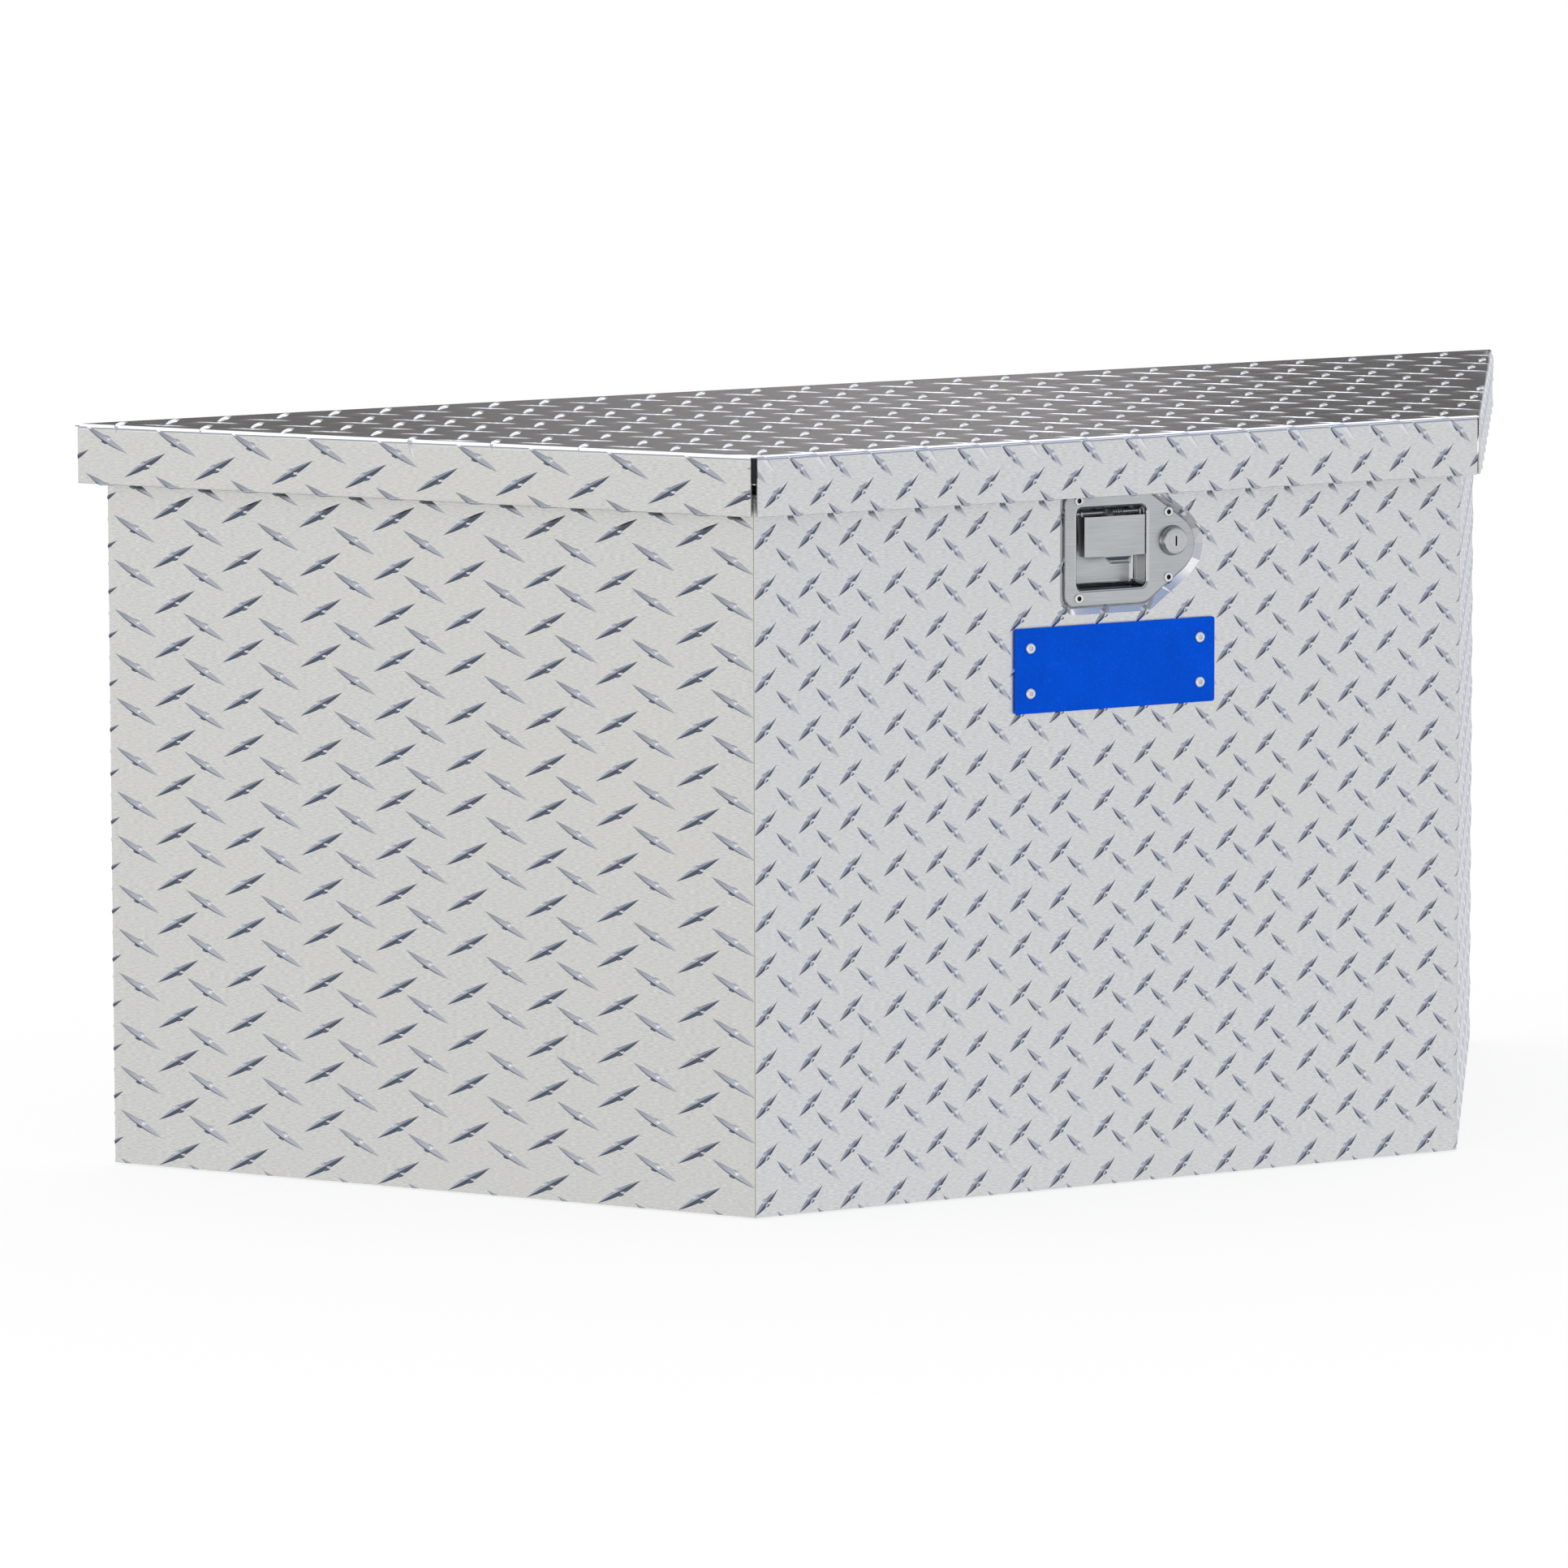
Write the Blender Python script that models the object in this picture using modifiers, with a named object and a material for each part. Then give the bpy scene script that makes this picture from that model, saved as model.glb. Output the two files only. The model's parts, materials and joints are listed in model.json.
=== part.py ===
"""Trailer-tongue tool box: tapered sheet tub, hinged foam-filled lid, paddle latch, hinge and gas struts.

Metres, +Z up. The front, with the latch, faces -Y. The origin is under the middle of the overall box.
"""

from math import atan, atan2, cos, pi, radians, sin, tan

import bmesh
import bpy
from mathutils import Matrix, Vector

# Tub
BODY_REAR_WIDTH = 1.219
BODY_FRONT_WIDTH = 0.608
BODY_DEPTH = 0.457
HEIGHT = 0.562
SHEET = 0.0016
RIM_DROP = 0.030
RIM_LIP = 0.025
GAP = 0.0003

# Lid
LID_OVERHANG = 0.0152
LID_REAR_OVERHANG = 0.0076
SKIRT_HEIGHT = 0.0446
CORNER_SLOT = 0.005
CORNER_SLOT_TOP = 0.006
CORE_THICKNESS = 0.018
LINER_SHEET = 0.0012
LINER_MARGIN = 0.001
SEAL_INSET = 0.008
SEAL_WIDTH = 0.010
SEAL_ROUNDING = 0.0025

# Piano hinge
HINGE_END_MARGIN = 0.055
KNUCKLES = 22
KNUCKLE_GAP = 0.0005
LEAF = 0.0012
HINGE_PIN_RADIUS = 0.0011
PIN_CLEARANCE = 0.0003
HINGE_RIVETS = 4
HINGE_RIVET_END = 0.045

# Rivets, with the hole that the mandrel leaves
RIVET_HEAD = 0.0033
RIVET_HEAD_HEIGHT = 0.0014
RIVET_SHANK = 0.0019
RIVET_MANDREL = 0.0013
RIVET_MANDREL_DEPTH = 0.0011
RIVET_TAIL = 0.0025
RIVET_SHOULDER = 0.92
RIVET_EDGE = 0.3
NAMEPLATE_RIVET_HEAD = 0.004

# Latch, measured from the middle of its pan
LATCH_DROP = 0.085
RECESS_DEPTH = 0.0055
RECESS_MARGIN = 0.0005
PLATE_LEFT_BORDER = 0.0107
PLATE_BORDER = 0.012
PLATE_THICKNESS = 0.0015
PLATE_CORNER = 0.008
PLATE_BEND = 0.010
NOSE_FROM_PAN = 0.0189
NOSE_RADIUS = 0.0225
NOSE_SLOPE = radians(36)
GASKET_THICKNESS = 0.0008
GASKET_MARGIN = 0.0006
PAN_WIDTH = 0.0592
PAN_HEIGHT = 0.060
PAN_DEPTH = 0.020
PAN_WALL = 0.0012
PAN_CORNER = 0.004
PAN_CLEARANCE = 0.0005
LATCH_RIVET_EDGE = (0.0117, 0.0056)
LATCH_RIVET_BY_LOCK = 0.0244

# Paddle and its lever
PADDLE_LEFT_GAP = 0.0067
PADDLE_RIGHT_GAP = 0.0008
PADDLE_TOP_DROP = 0.0064
PADDLE_BOTTOM = -0.0061
PADDLE_SHEET = 0.0015
PADDLE_TAB = ((-0.0076, 0.0171), (-0.0003, 0.0157))
PADDLE_TAB_DROP = 0.0060
PADDLE_PIN_DEPTH = 0.012
PADDLE_PIN_DROP = 0.0045
PADDLE_PIN_RADIUS = 0.0016
PADDLE_EAR = 0.0027
LEVER_WIDTH = 0.005
LEVER_HALF_HEIGHT = 0.002
LEVER_REACH = 0.018
LEVER_FOOT = 0.014
LEVER_SLOT_DROP = 0.0015
LEVER_SLOT_HEIGHT = 0.0155
LEVER_SIDE_GAP = 0.0015

# Hook behind the pan, and the keeper that it catches
HOOK_PIVOT_DEPTH = 0.043
HOOK_PIVOT_DROP = 0.011
HOOK_WIDTH = 0.005
HOOK_HUB = 0.0055
HOOK_NECK = (-0.0025, 0.0035)
HOOK_NOSE = 0.0085
HOOK_NOSE_THICKNESS = 0.0012
HOOK_CATCH_RISE = 0.018
HOOK_TOP = 0.022
HOOK_ARM = 0.014
HOOK_ARM_TOP = 0.003
HOOK_PIN_RADIUS = 0.0025
BRACKET_SHEET = 0.0015
BRACKET_HALF_WIDTH = 0.011
BRACKET_BASE = 0.002
BRACKET_BASE_HEIGHT = 0.026
BRACKET_CHEEK_DROP = 0.004
BRACKET_CHEEK_HEIGHT = 0.016
BRACKET_BEYOND_PIVOT = 0.006
KEEPER_WIDTH = 0.040
KEEPER_SHEET = 0.002
KEEPER_FLANGE_GAP = 0.001
KEEPER_FOOT = 0.020

# Springs, each wound round its pin
SPRING_WIRE = 0.0005
PADDLE_SPRING_TURNS = 5
HOOK_SPRING_TURNS = 3
SPRING_TURN_POINTS = 12
SPRING_CLEARANCE = 0.0004

# Lock
LOCK_FROM_NOSE = 0.0034
LOCK_RISE = 0.0029
LOCK_CAP_RADIUS = 0.0112
LOCK_FACE_RADIUS = 0.0090
LOCK_PROUD = 0.0056
LOCK_CHAMFER = 0.002
LOCK_BARREL_RADIUS = 0.009
LOCK_PLUG_RADIUS = 0.006
LOCK_LENGTH = 0.023
KEYWAY_WIDTH = 0.0014
KEYWAY_HEIGHT = 0.0075
KEYWAY_DEPTH = 0.006
CAM_LENGTH = 0.028
CAM_WIDTH = 0.010
CAM_SHEET = 0.0025
NUT_FLAT = 0.024
NUT_THICKNESS = 0.004

# Nameplate, standing on the raised lugs of the front sheet
NAMEPLATE_WIDTH = 0.172
NAMEPLATE_HEIGHT = 0.0635
NAMEPLATE_THICKNESS = 0.0012
NAMEPLATE_CORNER = 0.002
NAMEPLATE_STAND_OFF = 0.0011
NAMEPLATE_DROP = 0.0872
NAMEPLATE_RIVET_X = 0.073
NAMEPLATE_RIVET_Z = 0.0168

# Gas struts, measured from the hinge axis
STRUT_X = 0.34
STRUT_TUB_FORWARD = 0.050
STRUT_TUB_DROP = 0.260
STRUT_LID_FORWARD = 0.270
STRUT_LID_RISE = 0.005
TUBE_RADIUS = 0.009
TUBE_CLEARANCE = 0.0005
ROD_RADIUS = 0.004
ROD_END_CLEARANCE = 0.022
TUBE_FLOOR = 0.030
EYE_RADIUS = 0.009
EYE_EXTRA = 0.0004
STUD_RADIUS = 0.004
STUD_HEAD = 0.0065
STUD_HEAD_HEIGHT = 0.002
STUD_TAIL = 0.002
STRUT_BRACKET_SHEET = 0.0025
STRUT_BRACKET_FOOT = 0.030
STRUT_BRACKET_LENGTH = 0.040
STRUT_BRACKET_ROUND = 0.012

# How finely round shapes are cut, and the corner radius that rounds an end without closing it
ROUND = 16
RIVET_ROUND = 12
CORNER_STEPS = 4
NOSE_STEPS = 8
ALMOST_ROUND = 0.98

# Places that follow from the sizes above
REAR_RIVET_PROUD = GAP + RIVET_HEAD_HEIGHT
OVERALL_DEPTH = LID_OVERHANG + BODY_DEPTH + LID_REAR_OVERHANG + REAR_RIVET_PROUD
FRONT_Y = LID_OVERHANG - OVERALL_DEPTH / 2
REAR_Y = FRONT_Y + BODY_DEPTH
SIDE_SLOPE = (BODY_REAR_WIDTH - BODY_FRONT_WIDTH) / 2 / BODY_DEPTH
SIDE_ANGLE = atan(SIDE_SLOPE)
RIM_Z = HEIGHT - RIM_DROP
CORE_TOP = HEIGHT - SHEET - GAP
LINER_TOP = CORE_TOP - CORE_THICKNESS - GAP
LINER_BOTTOM = LINER_TOP - LINER_SHEET
SKIRT_BOTTOM = HEIGHT - SKIRT_HEIGHT
REAR_SPACE = LID_REAR_OVERHANG - SHEET
KNUCKLE_RADIUS = REAR_SPACE / 2 - GAP
HINGE_AXIS = Vector((0, REAR_Y + REAR_SPACE / 2, SKIRT_BOTTOM - KNUCKLE_RADIUS - GAP))
HINGE_LENGTH = BODY_REAR_WIDTH - 2 * HINGE_END_MARGIN
LEAF_HEIGHT = LINER_BOTTOM - GAP - HINGE_AXIS.z
LATCH_Z = HEIGHT - LATCH_DROP
PAN_TOP = PAN_HEIGHT / 2
PLATE_LEFT = PAN_WIDTH / 2 + PLATE_LEFT_BORDER
PLATE_HALF_HEIGHT = PAN_TOP + PLATE_BORDER
NOSE_X = PAN_WIDTH / 2 + NOSE_FROM_PAN
LOCK_X = NOSE_X + LOCK_FROM_NOSE
PADDLE_TOP = PAN_TOP - PADDLE_TOP_DROP
PADDLE_PIN_RISE = PAN_TOP - PADDLE_PIN_DROP
LEVER_SLOT_TOP = PAN_TOP - LEVER_SLOT_DROP
LEVER_SLOT_BOTTOM = LEVER_SLOT_TOP - LEVER_SLOT_HEIGHT
HOOK_PIVOT_RISE = PAN_TOP - HOOK_PIVOT_DROP
BRACKET_CHEEK_TOP = PAN_TOP - BRACKET_CHEEK_DROP
BRACKET_CHEEK_BOTTOM = BRACKET_CHEEK_TOP - BRACKET_CHEEK_HEIGHT
PLATE_BACK = RECESS_DEPTH - 2 * GAP - GASKET_THICKNESS
PLATE_FRONT = PLATE_BACK - PLATE_THICKNESS
PAN_BACK = PLATE_FRONT + PAN_DEPTH + PAN_WALL
RECESS_BACK = RECESS_DEPTH + SHEET
STRUT_TUB = HINGE_AXIS - Vector((0, STRUT_TUB_FORWARD, STRUT_TUB_DROP))
STRUT_LID = HINGE_AXIS - Vector((0, STRUT_LID_FORWARD, -STRUT_LID_RISE))
STRUT_LENGTH = (STRUT_LID - STRUT_TUB).length
EYE_WIDTH = 2 * TUBE_RADIUS + EYE_EXTRA
STRUT_LEAN = atan2(STRUT_TUB.y - STRUT_LID.y, STRUT_LID.z - STRUT_TUB.z)

FACING_FRONT = (pi / 2, 0, 0)
FACING_REAR = (-pi / 2, 0, 0)
FACING_RIGHT = (pi / 2, 0, pi / 2)

# Colour, roughness and metallic value of each finish
FINISHES = {
    "tread_plate": ((0.70, 0.71, 0.72), 0.38, 1.0),
    "plain_aluminium": ((0.74, 0.74, 0.74), 0.40, 1.0),
    "stainless": ((0.66, 0.67, 0.67), 0.30, 1.0),
    "zinc_steel": ((0.60, 0.61, 0.62), 0.42, 1.0),
    "chrome": ((0.80, 0.80, 0.81), 0.12, 1.0),
    "black_enamel": ((0.02, 0.02, 0.02), 0.35, 0.0),
    "rubber": ((0.02, 0.02, 0.02), 0.80, 0.0),
    "blue_plate": ((0.0, 0.08, 0.67), 0.30, 0.0),
    "foam": ((0.03, 0.03, 0.032), 0.90, 0.0),
}


def clear_scene():
    for thing in list(bpy.data.objects):
        bpy.data.objects.remove(thing, do_unlink=True)


def collection(name, hidden=False):
    made = bpy.data.collections.new(name)
    made.hide_render = hidden
    bpy.context.scene.collection.children.link(made)
    return made


def finish(thing, name):
    colour, roughness, metallic = FINISHES[name]
    material = bpy.data.materials.new(thing.name)
    material.use_nodes = True
    shader = material.node_tree.nodes["Principled BSDF"]
    shader.inputs["Base Color"].default_value = (*colour, 1)
    shader.inputs["Roughness"].default_value = roughness
    shader.inputs["Metallic"].default_value = metallic
    material.diffuse_color = (*colour, 1)
    thing.data.materials.clear()
    thing.data.materials.append(material)


def body(name, at, turn=(0, 0, 0), parent=None):
    """An empty that carries the pieces which move together."""
    empty = bpy.data.objects.new(name, None)
    PARTS.objects.link(empty)
    empty.location = at
    empty.rotation_euler = turn
    empty.parent = parent
    bpy.context.view_layer.update()
    return empty


def part(name, data, finish_name, carrier, at=(0, 0, 0), turn=(0, 0, 0), local=False):
    """A sub-part on its carrier. The place is in the world, or in the carrier's own frame if local."""
    thing = bpy.data.objects.new(name, data)
    PARTS.objects.link(thing)
    thing.parent = carrier
    thing.location = Vector(at) if local else Vector(at) - carrier.matrix_world.translation
    thing.rotation_euler = turn
    finish(thing, finish_name)
    return thing


def cutter(
    name,
    data,
    target,
    at=(0, 0, 0),
    turn=(0, 0, 0),
    operation="DIFFERENCE",
    local=False,
    solver="EXACT",
):
    """Cuts from the target, or joins to it, a shape that isn't drawn itself."""
    tool = bpy.data.objects.new(name, data)
    CUTTERS.objects.link(tool)
    tool.hide_render = True
    tool.display_type = "WIRE"
    tool.parent = target.parent
    tool.location = Vector(at) if local else Vector(at) - target.parent.matrix_world.translation
    tool.rotation_euler = turn
    cut = target.modifiers.new(name, "BOOLEAN")
    cut.operation = operation
    cut.solver = solver
    cut.object = tool
    return tool


def rounded(corners, steps=CORNER_STEPS):
    """An outline through corners given as x, y and radius."""
    points = []
    for i, (x, y, radius) in enumerate(corners):
        here = Vector((x, y))
        if radius == 0:
            points.append(here)
            continue
        back = (Vector(corners[i - 1][:2]) - here).normalized()
        ahead = (Vector(corners[(i + 1) % len(corners)][:2]) - here).normalized()
        half = back.angle(ahead) / 2
        centre = here + (back + ahead).normalized() * radius / sin(half)
        start = here + back * radius / tan(half) - centre
        sweep = (pi - 2 * half) * (1 if ahead.cross(back) > 0 else -1)
        for step in range(steps + 1):
            points.append(centre + Matrix.Rotation(sweep * step / steps, 2) @ start)
    return points


def rectangle(left, bottom, right, top, radius=0.0):
    corners = ((left, bottom), (right, bottom), (right, top), (left, top))
    return rounded([(x, y, radius) for x, y in corners])


def circle(radius, x=0.0, y=0.0, count=ROUND):
    angles = [2 * pi * i / count for i in range(count)]
    return [Vector((x + radius * cos(a), y + radius * sin(a))) for a in angles]


def flat(name, outline, thickness, holes=()):
    """A flat piece as a filled curve, with its middle plane at z = 0."""
    curve = bpy.data.curves.new(name, "CURVE")
    curve.dimensions = "2D"
    curve.fill_mode = "BOTH"
    curve.extrude = thickness / 2
    for ring in (outline, *holes):
        spline = curve.splines.new("POLY")
        spline.points.add(len(ring) - 1)
        spline.use_cyclic_u = True
        for point, (x, y) in zip(spline.points, ring):
            point.co = (x, y, 0, 1)
    return curve


def as_mesh(data):
    """A curve's own mesh, with its caps welded to its sides."""
    holder = bpy.data.objects.new(data.name, data)
    bpy.context.scene.collection.objects.link(holder)
    bpy.context.view_layer.update()
    mesh = bpy.data.meshes.new_from_object(holder.evaluated_get(bpy.context.evaluated_depsgraph_get()))
    bpy.data.objects.remove(holder, do_unlink=True)
    shape = bmesh.new()
    shape.from_mesh(mesh)
    bmesh.ops.remove_doubles(shape, verts=shape.verts, dist=1e-6)
    bmesh.ops.recalc_face_normals(shape, faces=shape.faces)
    shape.to_mesh(mesh)
    shape.free()
    return mesh


def sheet(name, outline, thickness, holes=()):
    return as_mesh(flat(name, outline, thickness, holes))


def rods(name, radius, length, places, count=ROUND):
    """Separate cylinders along local z, at places given as x and y, in one mesh."""
    shape = bmesh.new()
    for x, y in places:
        bmesh.ops.create_cone(
            shape,
            cap_ends=True,
            segments=count,
            radius1=radius,
            radius2=radius,
            depth=length,
            matrix=Matrix.Translation((x, y, 0)),
        )
    mesh = bpy.data.meshes.new(name)
    shape.to_mesh(mesh)
    shape.free()
    mesh.shade_smooth()
    mesh.set_sharp_from_angle(angle=radians(35))
    return mesh


def blocks(name, boxes):
    """Separate boxes in one mesh, each given as its low and high corner."""
    shape = bmesh.new()
    for low, high in boxes:
        low = Vector(low)
        high = Vector(high)
        size = Matrix.Diagonal((*(high - low), 1))
        bmesh.ops.create_cube(shape, size=1, matrix=Matrix.Translation((low + high) / 2) @ size)
    mesh = bpy.data.meshes.new(name)
    shape.to_mesh(mesh)
    shape.free()
    return mesh


def loft(name, first, last):
    """A closed solid between two sections that have as many corners."""
    shape = bmesh.new()
    rings = [[shape.verts.new(point) for point in section] for section in (first, last)]
    shape.faces.new(rings[0])
    shape.faces.new(rings[1])
    for i in range(len(first)):
        shape.faces.new((rings[0][i - 1], rings[0][i], rings[1][i], rings[1][i - 1]))
    bmesh.ops.recalc_face_normals(shape, faces=shape.faces)
    mesh = bpy.data.meshes.new(name)
    shape.to_mesh(mesh)
    shape.free()
    return mesh


def turned(thing, steps):
    screw = thing.modifiers.new("Turn", "SCREW")
    screw.steps = steps
    screw.render_steps = steps
    screw.use_merge_vertices = True
    screw.merge_threshold = 1e-5
    screw.use_smooth_shade = True


def profile(name, points):
    """The half section of a turned piece, from the top of its axis to the bottom."""
    mesh = bpy.data.meshes.new(name)
    mesh.from_pydata([(x, 0, z) for x, z in points], [(i, i + 1) for i in range(len(points) - 1)], [])
    return mesh


def coil(name, radius, length, turns):
    """A spring along local z as one wire. Prints the least gap between its turns."""
    curve = bpy.data.curves.new(name, "CURVE")
    curve.dimensions = "3D"
    curve.bevel_depth = SPRING_WIRE
    curve.bevel_resolution = 1
    curve.use_fill_caps = True
    spline = curve.splines.new("POLY")
    count = turns * SPRING_TURN_POINTS
    spline.points.add(count)
    run = length - 2 * SPRING_WIRE
    for i in range(count + 1):
        angle = 2 * pi * i / SPRING_TURN_POINTS
        spline.points[i].co = (radius * cos(angle), radius * sin(angle), run * (i / count - 0.5), 1)
    print(f"{name}: least gap between turns {1000 * (run / turns - 2 * SPRING_WIRE):.2f} mm")
    return curve


def half_width(y, inset):
    """Half the tub's width at y, with its sides moved in by inset."""
    return BODY_FRONT_WIDTH / 2 + (y - FRONT_Y) * SIDE_SLOPE - inset / cos(SIDE_ANGLE)


def plan(inset, rear_inset=None):
    """The tub's outline from above, moved in by inset, from the front left corner anticlockwise."""
    front = FRONT_Y + inset
    rear = REAR_Y - (inset if rear_inset is None else rear_inset)
    near = half_width(front, inset)
    far = half_width(rear, inset)
    return [Vector(p) for p in ((-near, front), (near, front), (far, rear), (-far, rear))]


def teardrop(offset):
    """The latch plate's outline in x and z, moved out by offset."""
    nose = NOSE_RADIUS + offset
    half = PLATE_HALF_HEIGHT + offset
    left = -PLATE_LEFT - offset
    tip = NOSE_X + nose / sin(NOSE_SLOPE)
    bend = tip - half / tan(NOSE_SLOPE)
    corner = PLATE_CORNER + offset
    corners = [(left, -half, corner), (bend, -half, PLATE_BEND), (tip, 0, 0), (left, half, 0)]
    lower = rounded(corners)[: 2 * (CORNER_STEPS + 1)]
    arc = []
    for step in range(NOSE_STEPS + 1):
        angle = (pi / 2 - NOSE_SLOPE) * (2 * step / NOSE_STEPS - 1)
        arc.append(Vector((NOSE_X + nose * cos(angle), nose * sin(angle))))
    return lower + arc + [Vector((p.x, -p.y)) for p in reversed(lower)]


def rivet(name, carrier, finish_name, at, turn, grip, head=RIVET_HEAD):
    """A blind rivet with its head's seat at the given place. Its shank runs through grip and a tail."""
    crown = RIVET_HEAD_HEIGHT
    pocket = crown - RIVET_MANDREL_DEPTH
    points = [
        (0, pocket),
        (RIVET_MANDREL, pocket),
        (RIVET_MANDREL, crown),
        ((RIVET_MANDREL + head) / 2, crown * RIVET_SHOULDER),
        (head, crown * RIVET_EDGE),
        (head, 0),
        (RIVET_SHANK, 0),
        (RIVET_SHANK, -grip - RIVET_TAIL),
        (0, -grip - RIVET_TAIL),
    ]
    turned(part(name, profile(name, points), finish_name, carrier, at, turn), RIVET_ROUND)


def wall(name, side, tub):
    """One side of the tub with the lip at its top, mitred at both ends."""
    section = (
        (0, 0),
        (0, RIM_Z),
        (RIM_LIP, RIM_Z),
        (RIM_LIP, RIM_Z - SHEET),
        (SHEET, RIM_Z - SHEET),
        (SHEET, 0),
    )
    ends = [[], []]
    for inset, z in section:
        corners = plan(inset)
        first = corners[side]
        last = corners[(side + 1) % 4]
        along = (last - first).normalized() * GAP
        ends[0].append((*(first + along), z))
        ends[1].append((*(last - along), z))
    return part(name, loft(name, *ends), "tread_plate", tub)


def at_latch(depth, x=0.0, z=0.0):
    """A place given from the front sheet's outer face and the middle of the pan."""
    return Vector((x, FRONT_Y + depth, LATCH_Z + z))


def recess_plug(name, rim_depth, rim_offset, floor_depth, floor_offset):
    rim = [at_latch(rim_depth, p.x, p.y) for p in teardrop(rim_offset)]
    floor = [at_latch(floor_depth, p.x, p.y) for p in teardrop(floor_offset)]
    return loft(name, rim, floor)


def pan_outline(offset):
    half = PAN_WIDTH / 2 + offset
    high = PAN_HEIGHT / 2 + offset
    return rectangle(-half, -high, half, high, PAN_CORNER + offset)


def latch_rivets():
    """Where the latch's rivets stand, from the middle of its pan."""
    left = LATCH_RIVET_EDGE[0] - PLATE_LEFT
    high = PLATE_HALF_HEIGHT - LATCH_RIVET_EDGE[1]
    rise = LATCH_RIVET_BY_LOCK
    return [(left, high), (left, -high), (NOSE_X, rise), (NOSE_X, -rise)]


def nameplate_rivets():
    """Where the nameplate's rivets stand, from its middle."""
    heights = (-NAMEPLATE_RIVET_Z, NAMEPLATE_RIVET_Z)
    return [(x, z) for x in (-NAMEPLATE_RIVET_X, NAMEPLATE_RIVET_X) for z in heights]


def hinge_rivet_places():
    """Where the hinge's rivets stand along x."""
    span = HINGE_LENGTH / 2 - HINGE_RIVET_END
    return [span * (2 * i / (HINGE_RIVETS - 1) - 1) for i in range(HINGE_RIVETS)]


def leaf_rivet_height():
    return KNUCKLE_RADIUS + (LEAF_HEIGHT - KNUCKLE_RADIUS) / 2


def make_tub(tub):
    front = wall("front_panel", 0, tub)
    through = 4 * RECESS_BACK
    floor = RECESS_MARGIN
    mitre = SHEET * tan(pi / 8)
    outer = recess_plug(
        "recess_outside",
        SHEET / 2,
        floor + mitre + RECESS_BACK - SHEET / 2,
        RECESS_BACK,
        floor + mitre,
    )
    cutter("recess_outside", outer, front, operation="UNION")
    over = SHEET
    inner = recess_plug("recess_inside", -over, floor + RECESS_DEPTH + over, RECESS_DEPTH, floor)
    cutter("recess_inside", inner, front)
    hole = sheet("pan_hole", pan_outline(PAN_WALL + PAN_CLEARANCE), through)
    cutter("pan_hole", hole, front, at_latch(RECESS_DEPTH), FACING_FRONT)
    hole = rods("lock_hole", LOCK_BARREL_RADIUS + PAN_CLEARANCE, through, [(LOCK_X, LOCK_RISE)])
    cutter("lock_hole", hole, front, at_latch(RECESS_DEPTH), FACING_FRONT)
    places = latch_rivets() + [(x, z - NAMEPLATE_DROP) for x, z in nameplate_rivets()]
    hole = rods("front_rivet_holes", RIVET_SHANK + GAP, through, places, RIVET_ROUND)
    cutter("front_rivet_holes", hole, front, at_latch(RECESS_DEPTH), FACING_FRONT)

    wall("right_side_panel", 1, tub)
    rear = wall("rear_panel", 2, tub)
    wall("left_side_panel", 3, tub)
    places = [(x, 0) for x in hinge_rivet_places()]
    hole = rods("rear_rivet_holes", RIVET_SHANK + GAP, 4 * SHEET, places, RIVET_ROUND)
    cutter("rear_rivet_holes", hole, rear, (0, REAR_Y, HINGE_AXIS.z - leaf_rivet_height()), FACING_FRONT)

    part("floor_panel", flat("floor_panel", plan(SHEET + GAP), SHEET), "tread_plate", tub, (0, 0, SHEET / 2))
    low = RIM_Z + GAP
    high = LINER_BOTTOM - GAP
    ring = sheet("rim_seal", plan(SEAL_INSET), high - low, [plan(SEAL_INSET + SEAL_WIDTH)])
    seal = part("rim_seal", ring, "rubber", tub, (0, 0, (low + high) / 2))
    round_off = seal.modifiers.new("Round", "BEVEL")
    round_off.width = SEAL_ROUNDING
    round_off.segments = 2
    round_off.limit_method = "ANGLE"
    round_off.angle_limit = radians(80)


def make_latch_housing(tub):
    bore = circle(LOCK_BARREL_RADIUS + GAP, LOCK_X, LOCK_RISE)
    holes = [circle(RIVET_SHANK + GAP, x, z, RIVET_ROUND) for x, z in latch_rivets()]
    middle = (PLATE_FRONT + PLATE_BACK) / 2
    face = sheet("latch_housing", teardrop(0), PLATE_THICKNESS, [bore, *holes])
    housing = part("latch_housing", face, "stainless", tub, at_latch(middle), FACING_FRONT)
    depth = PAN_BACK - middle
    tray = sheet("pan_outside", pan_outline(PAN_WALL), depth)
    cutter("pan_outside", tray, housing, at_latch(middle + depth / 2), FACING_FRONT, "UNION")
    reach = PLATE_FRONT + PAN_DEPTH
    over = PLATE_THICKNESS
    space = sheet("pan_inside", pan_outline(0), reach - PLATE_FRONT + over)
    cutter("pan_inside", space, housing, at_latch((PLATE_FRONT - over + reach) / 2), FACING_FRONT)
    half = LEVER_WIDTH / 2 + LEVER_SIDE_GAP
    slot = sheet("lever_slot", rectangle(-half, LEVER_SLOT_BOTTOM, half, LEVER_SLOT_TOP), 4 * PAN_WALL)
    cutter("lever_slot", slot, housing, at_latch(PAN_BACK), FACING_FRONT)

    bore = circle(LOCK_BARREL_RADIUS + PAN_CLEARANCE, LOCK_X, LOCK_RISE)
    pad = sheet(
        "latch_gasket",
        teardrop(-GASKET_MARGIN),
        GASKET_THICKNESS,
        [pan_outline(PAN_WALL + PAN_CLEARANCE), bore, *holes],
    )
    middle = PLATE_BACK + GAP + GASKET_THICKNESS / 2
    part("latch_gasket", pad, "rubber", tub, at_latch(middle), FACING_FRONT)
    grip = RECESS_BACK - PLATE_FRONT + GAP
    for i, (x, z) in enumerate(latch_rivets()):
        place = at_latch(PLATE_FRONT - GAP, x, z)
        rivet(f"latch_rivet_{i + 1}", tub, "plain_aluminium", place, FACING_FRONT, grip)


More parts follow.
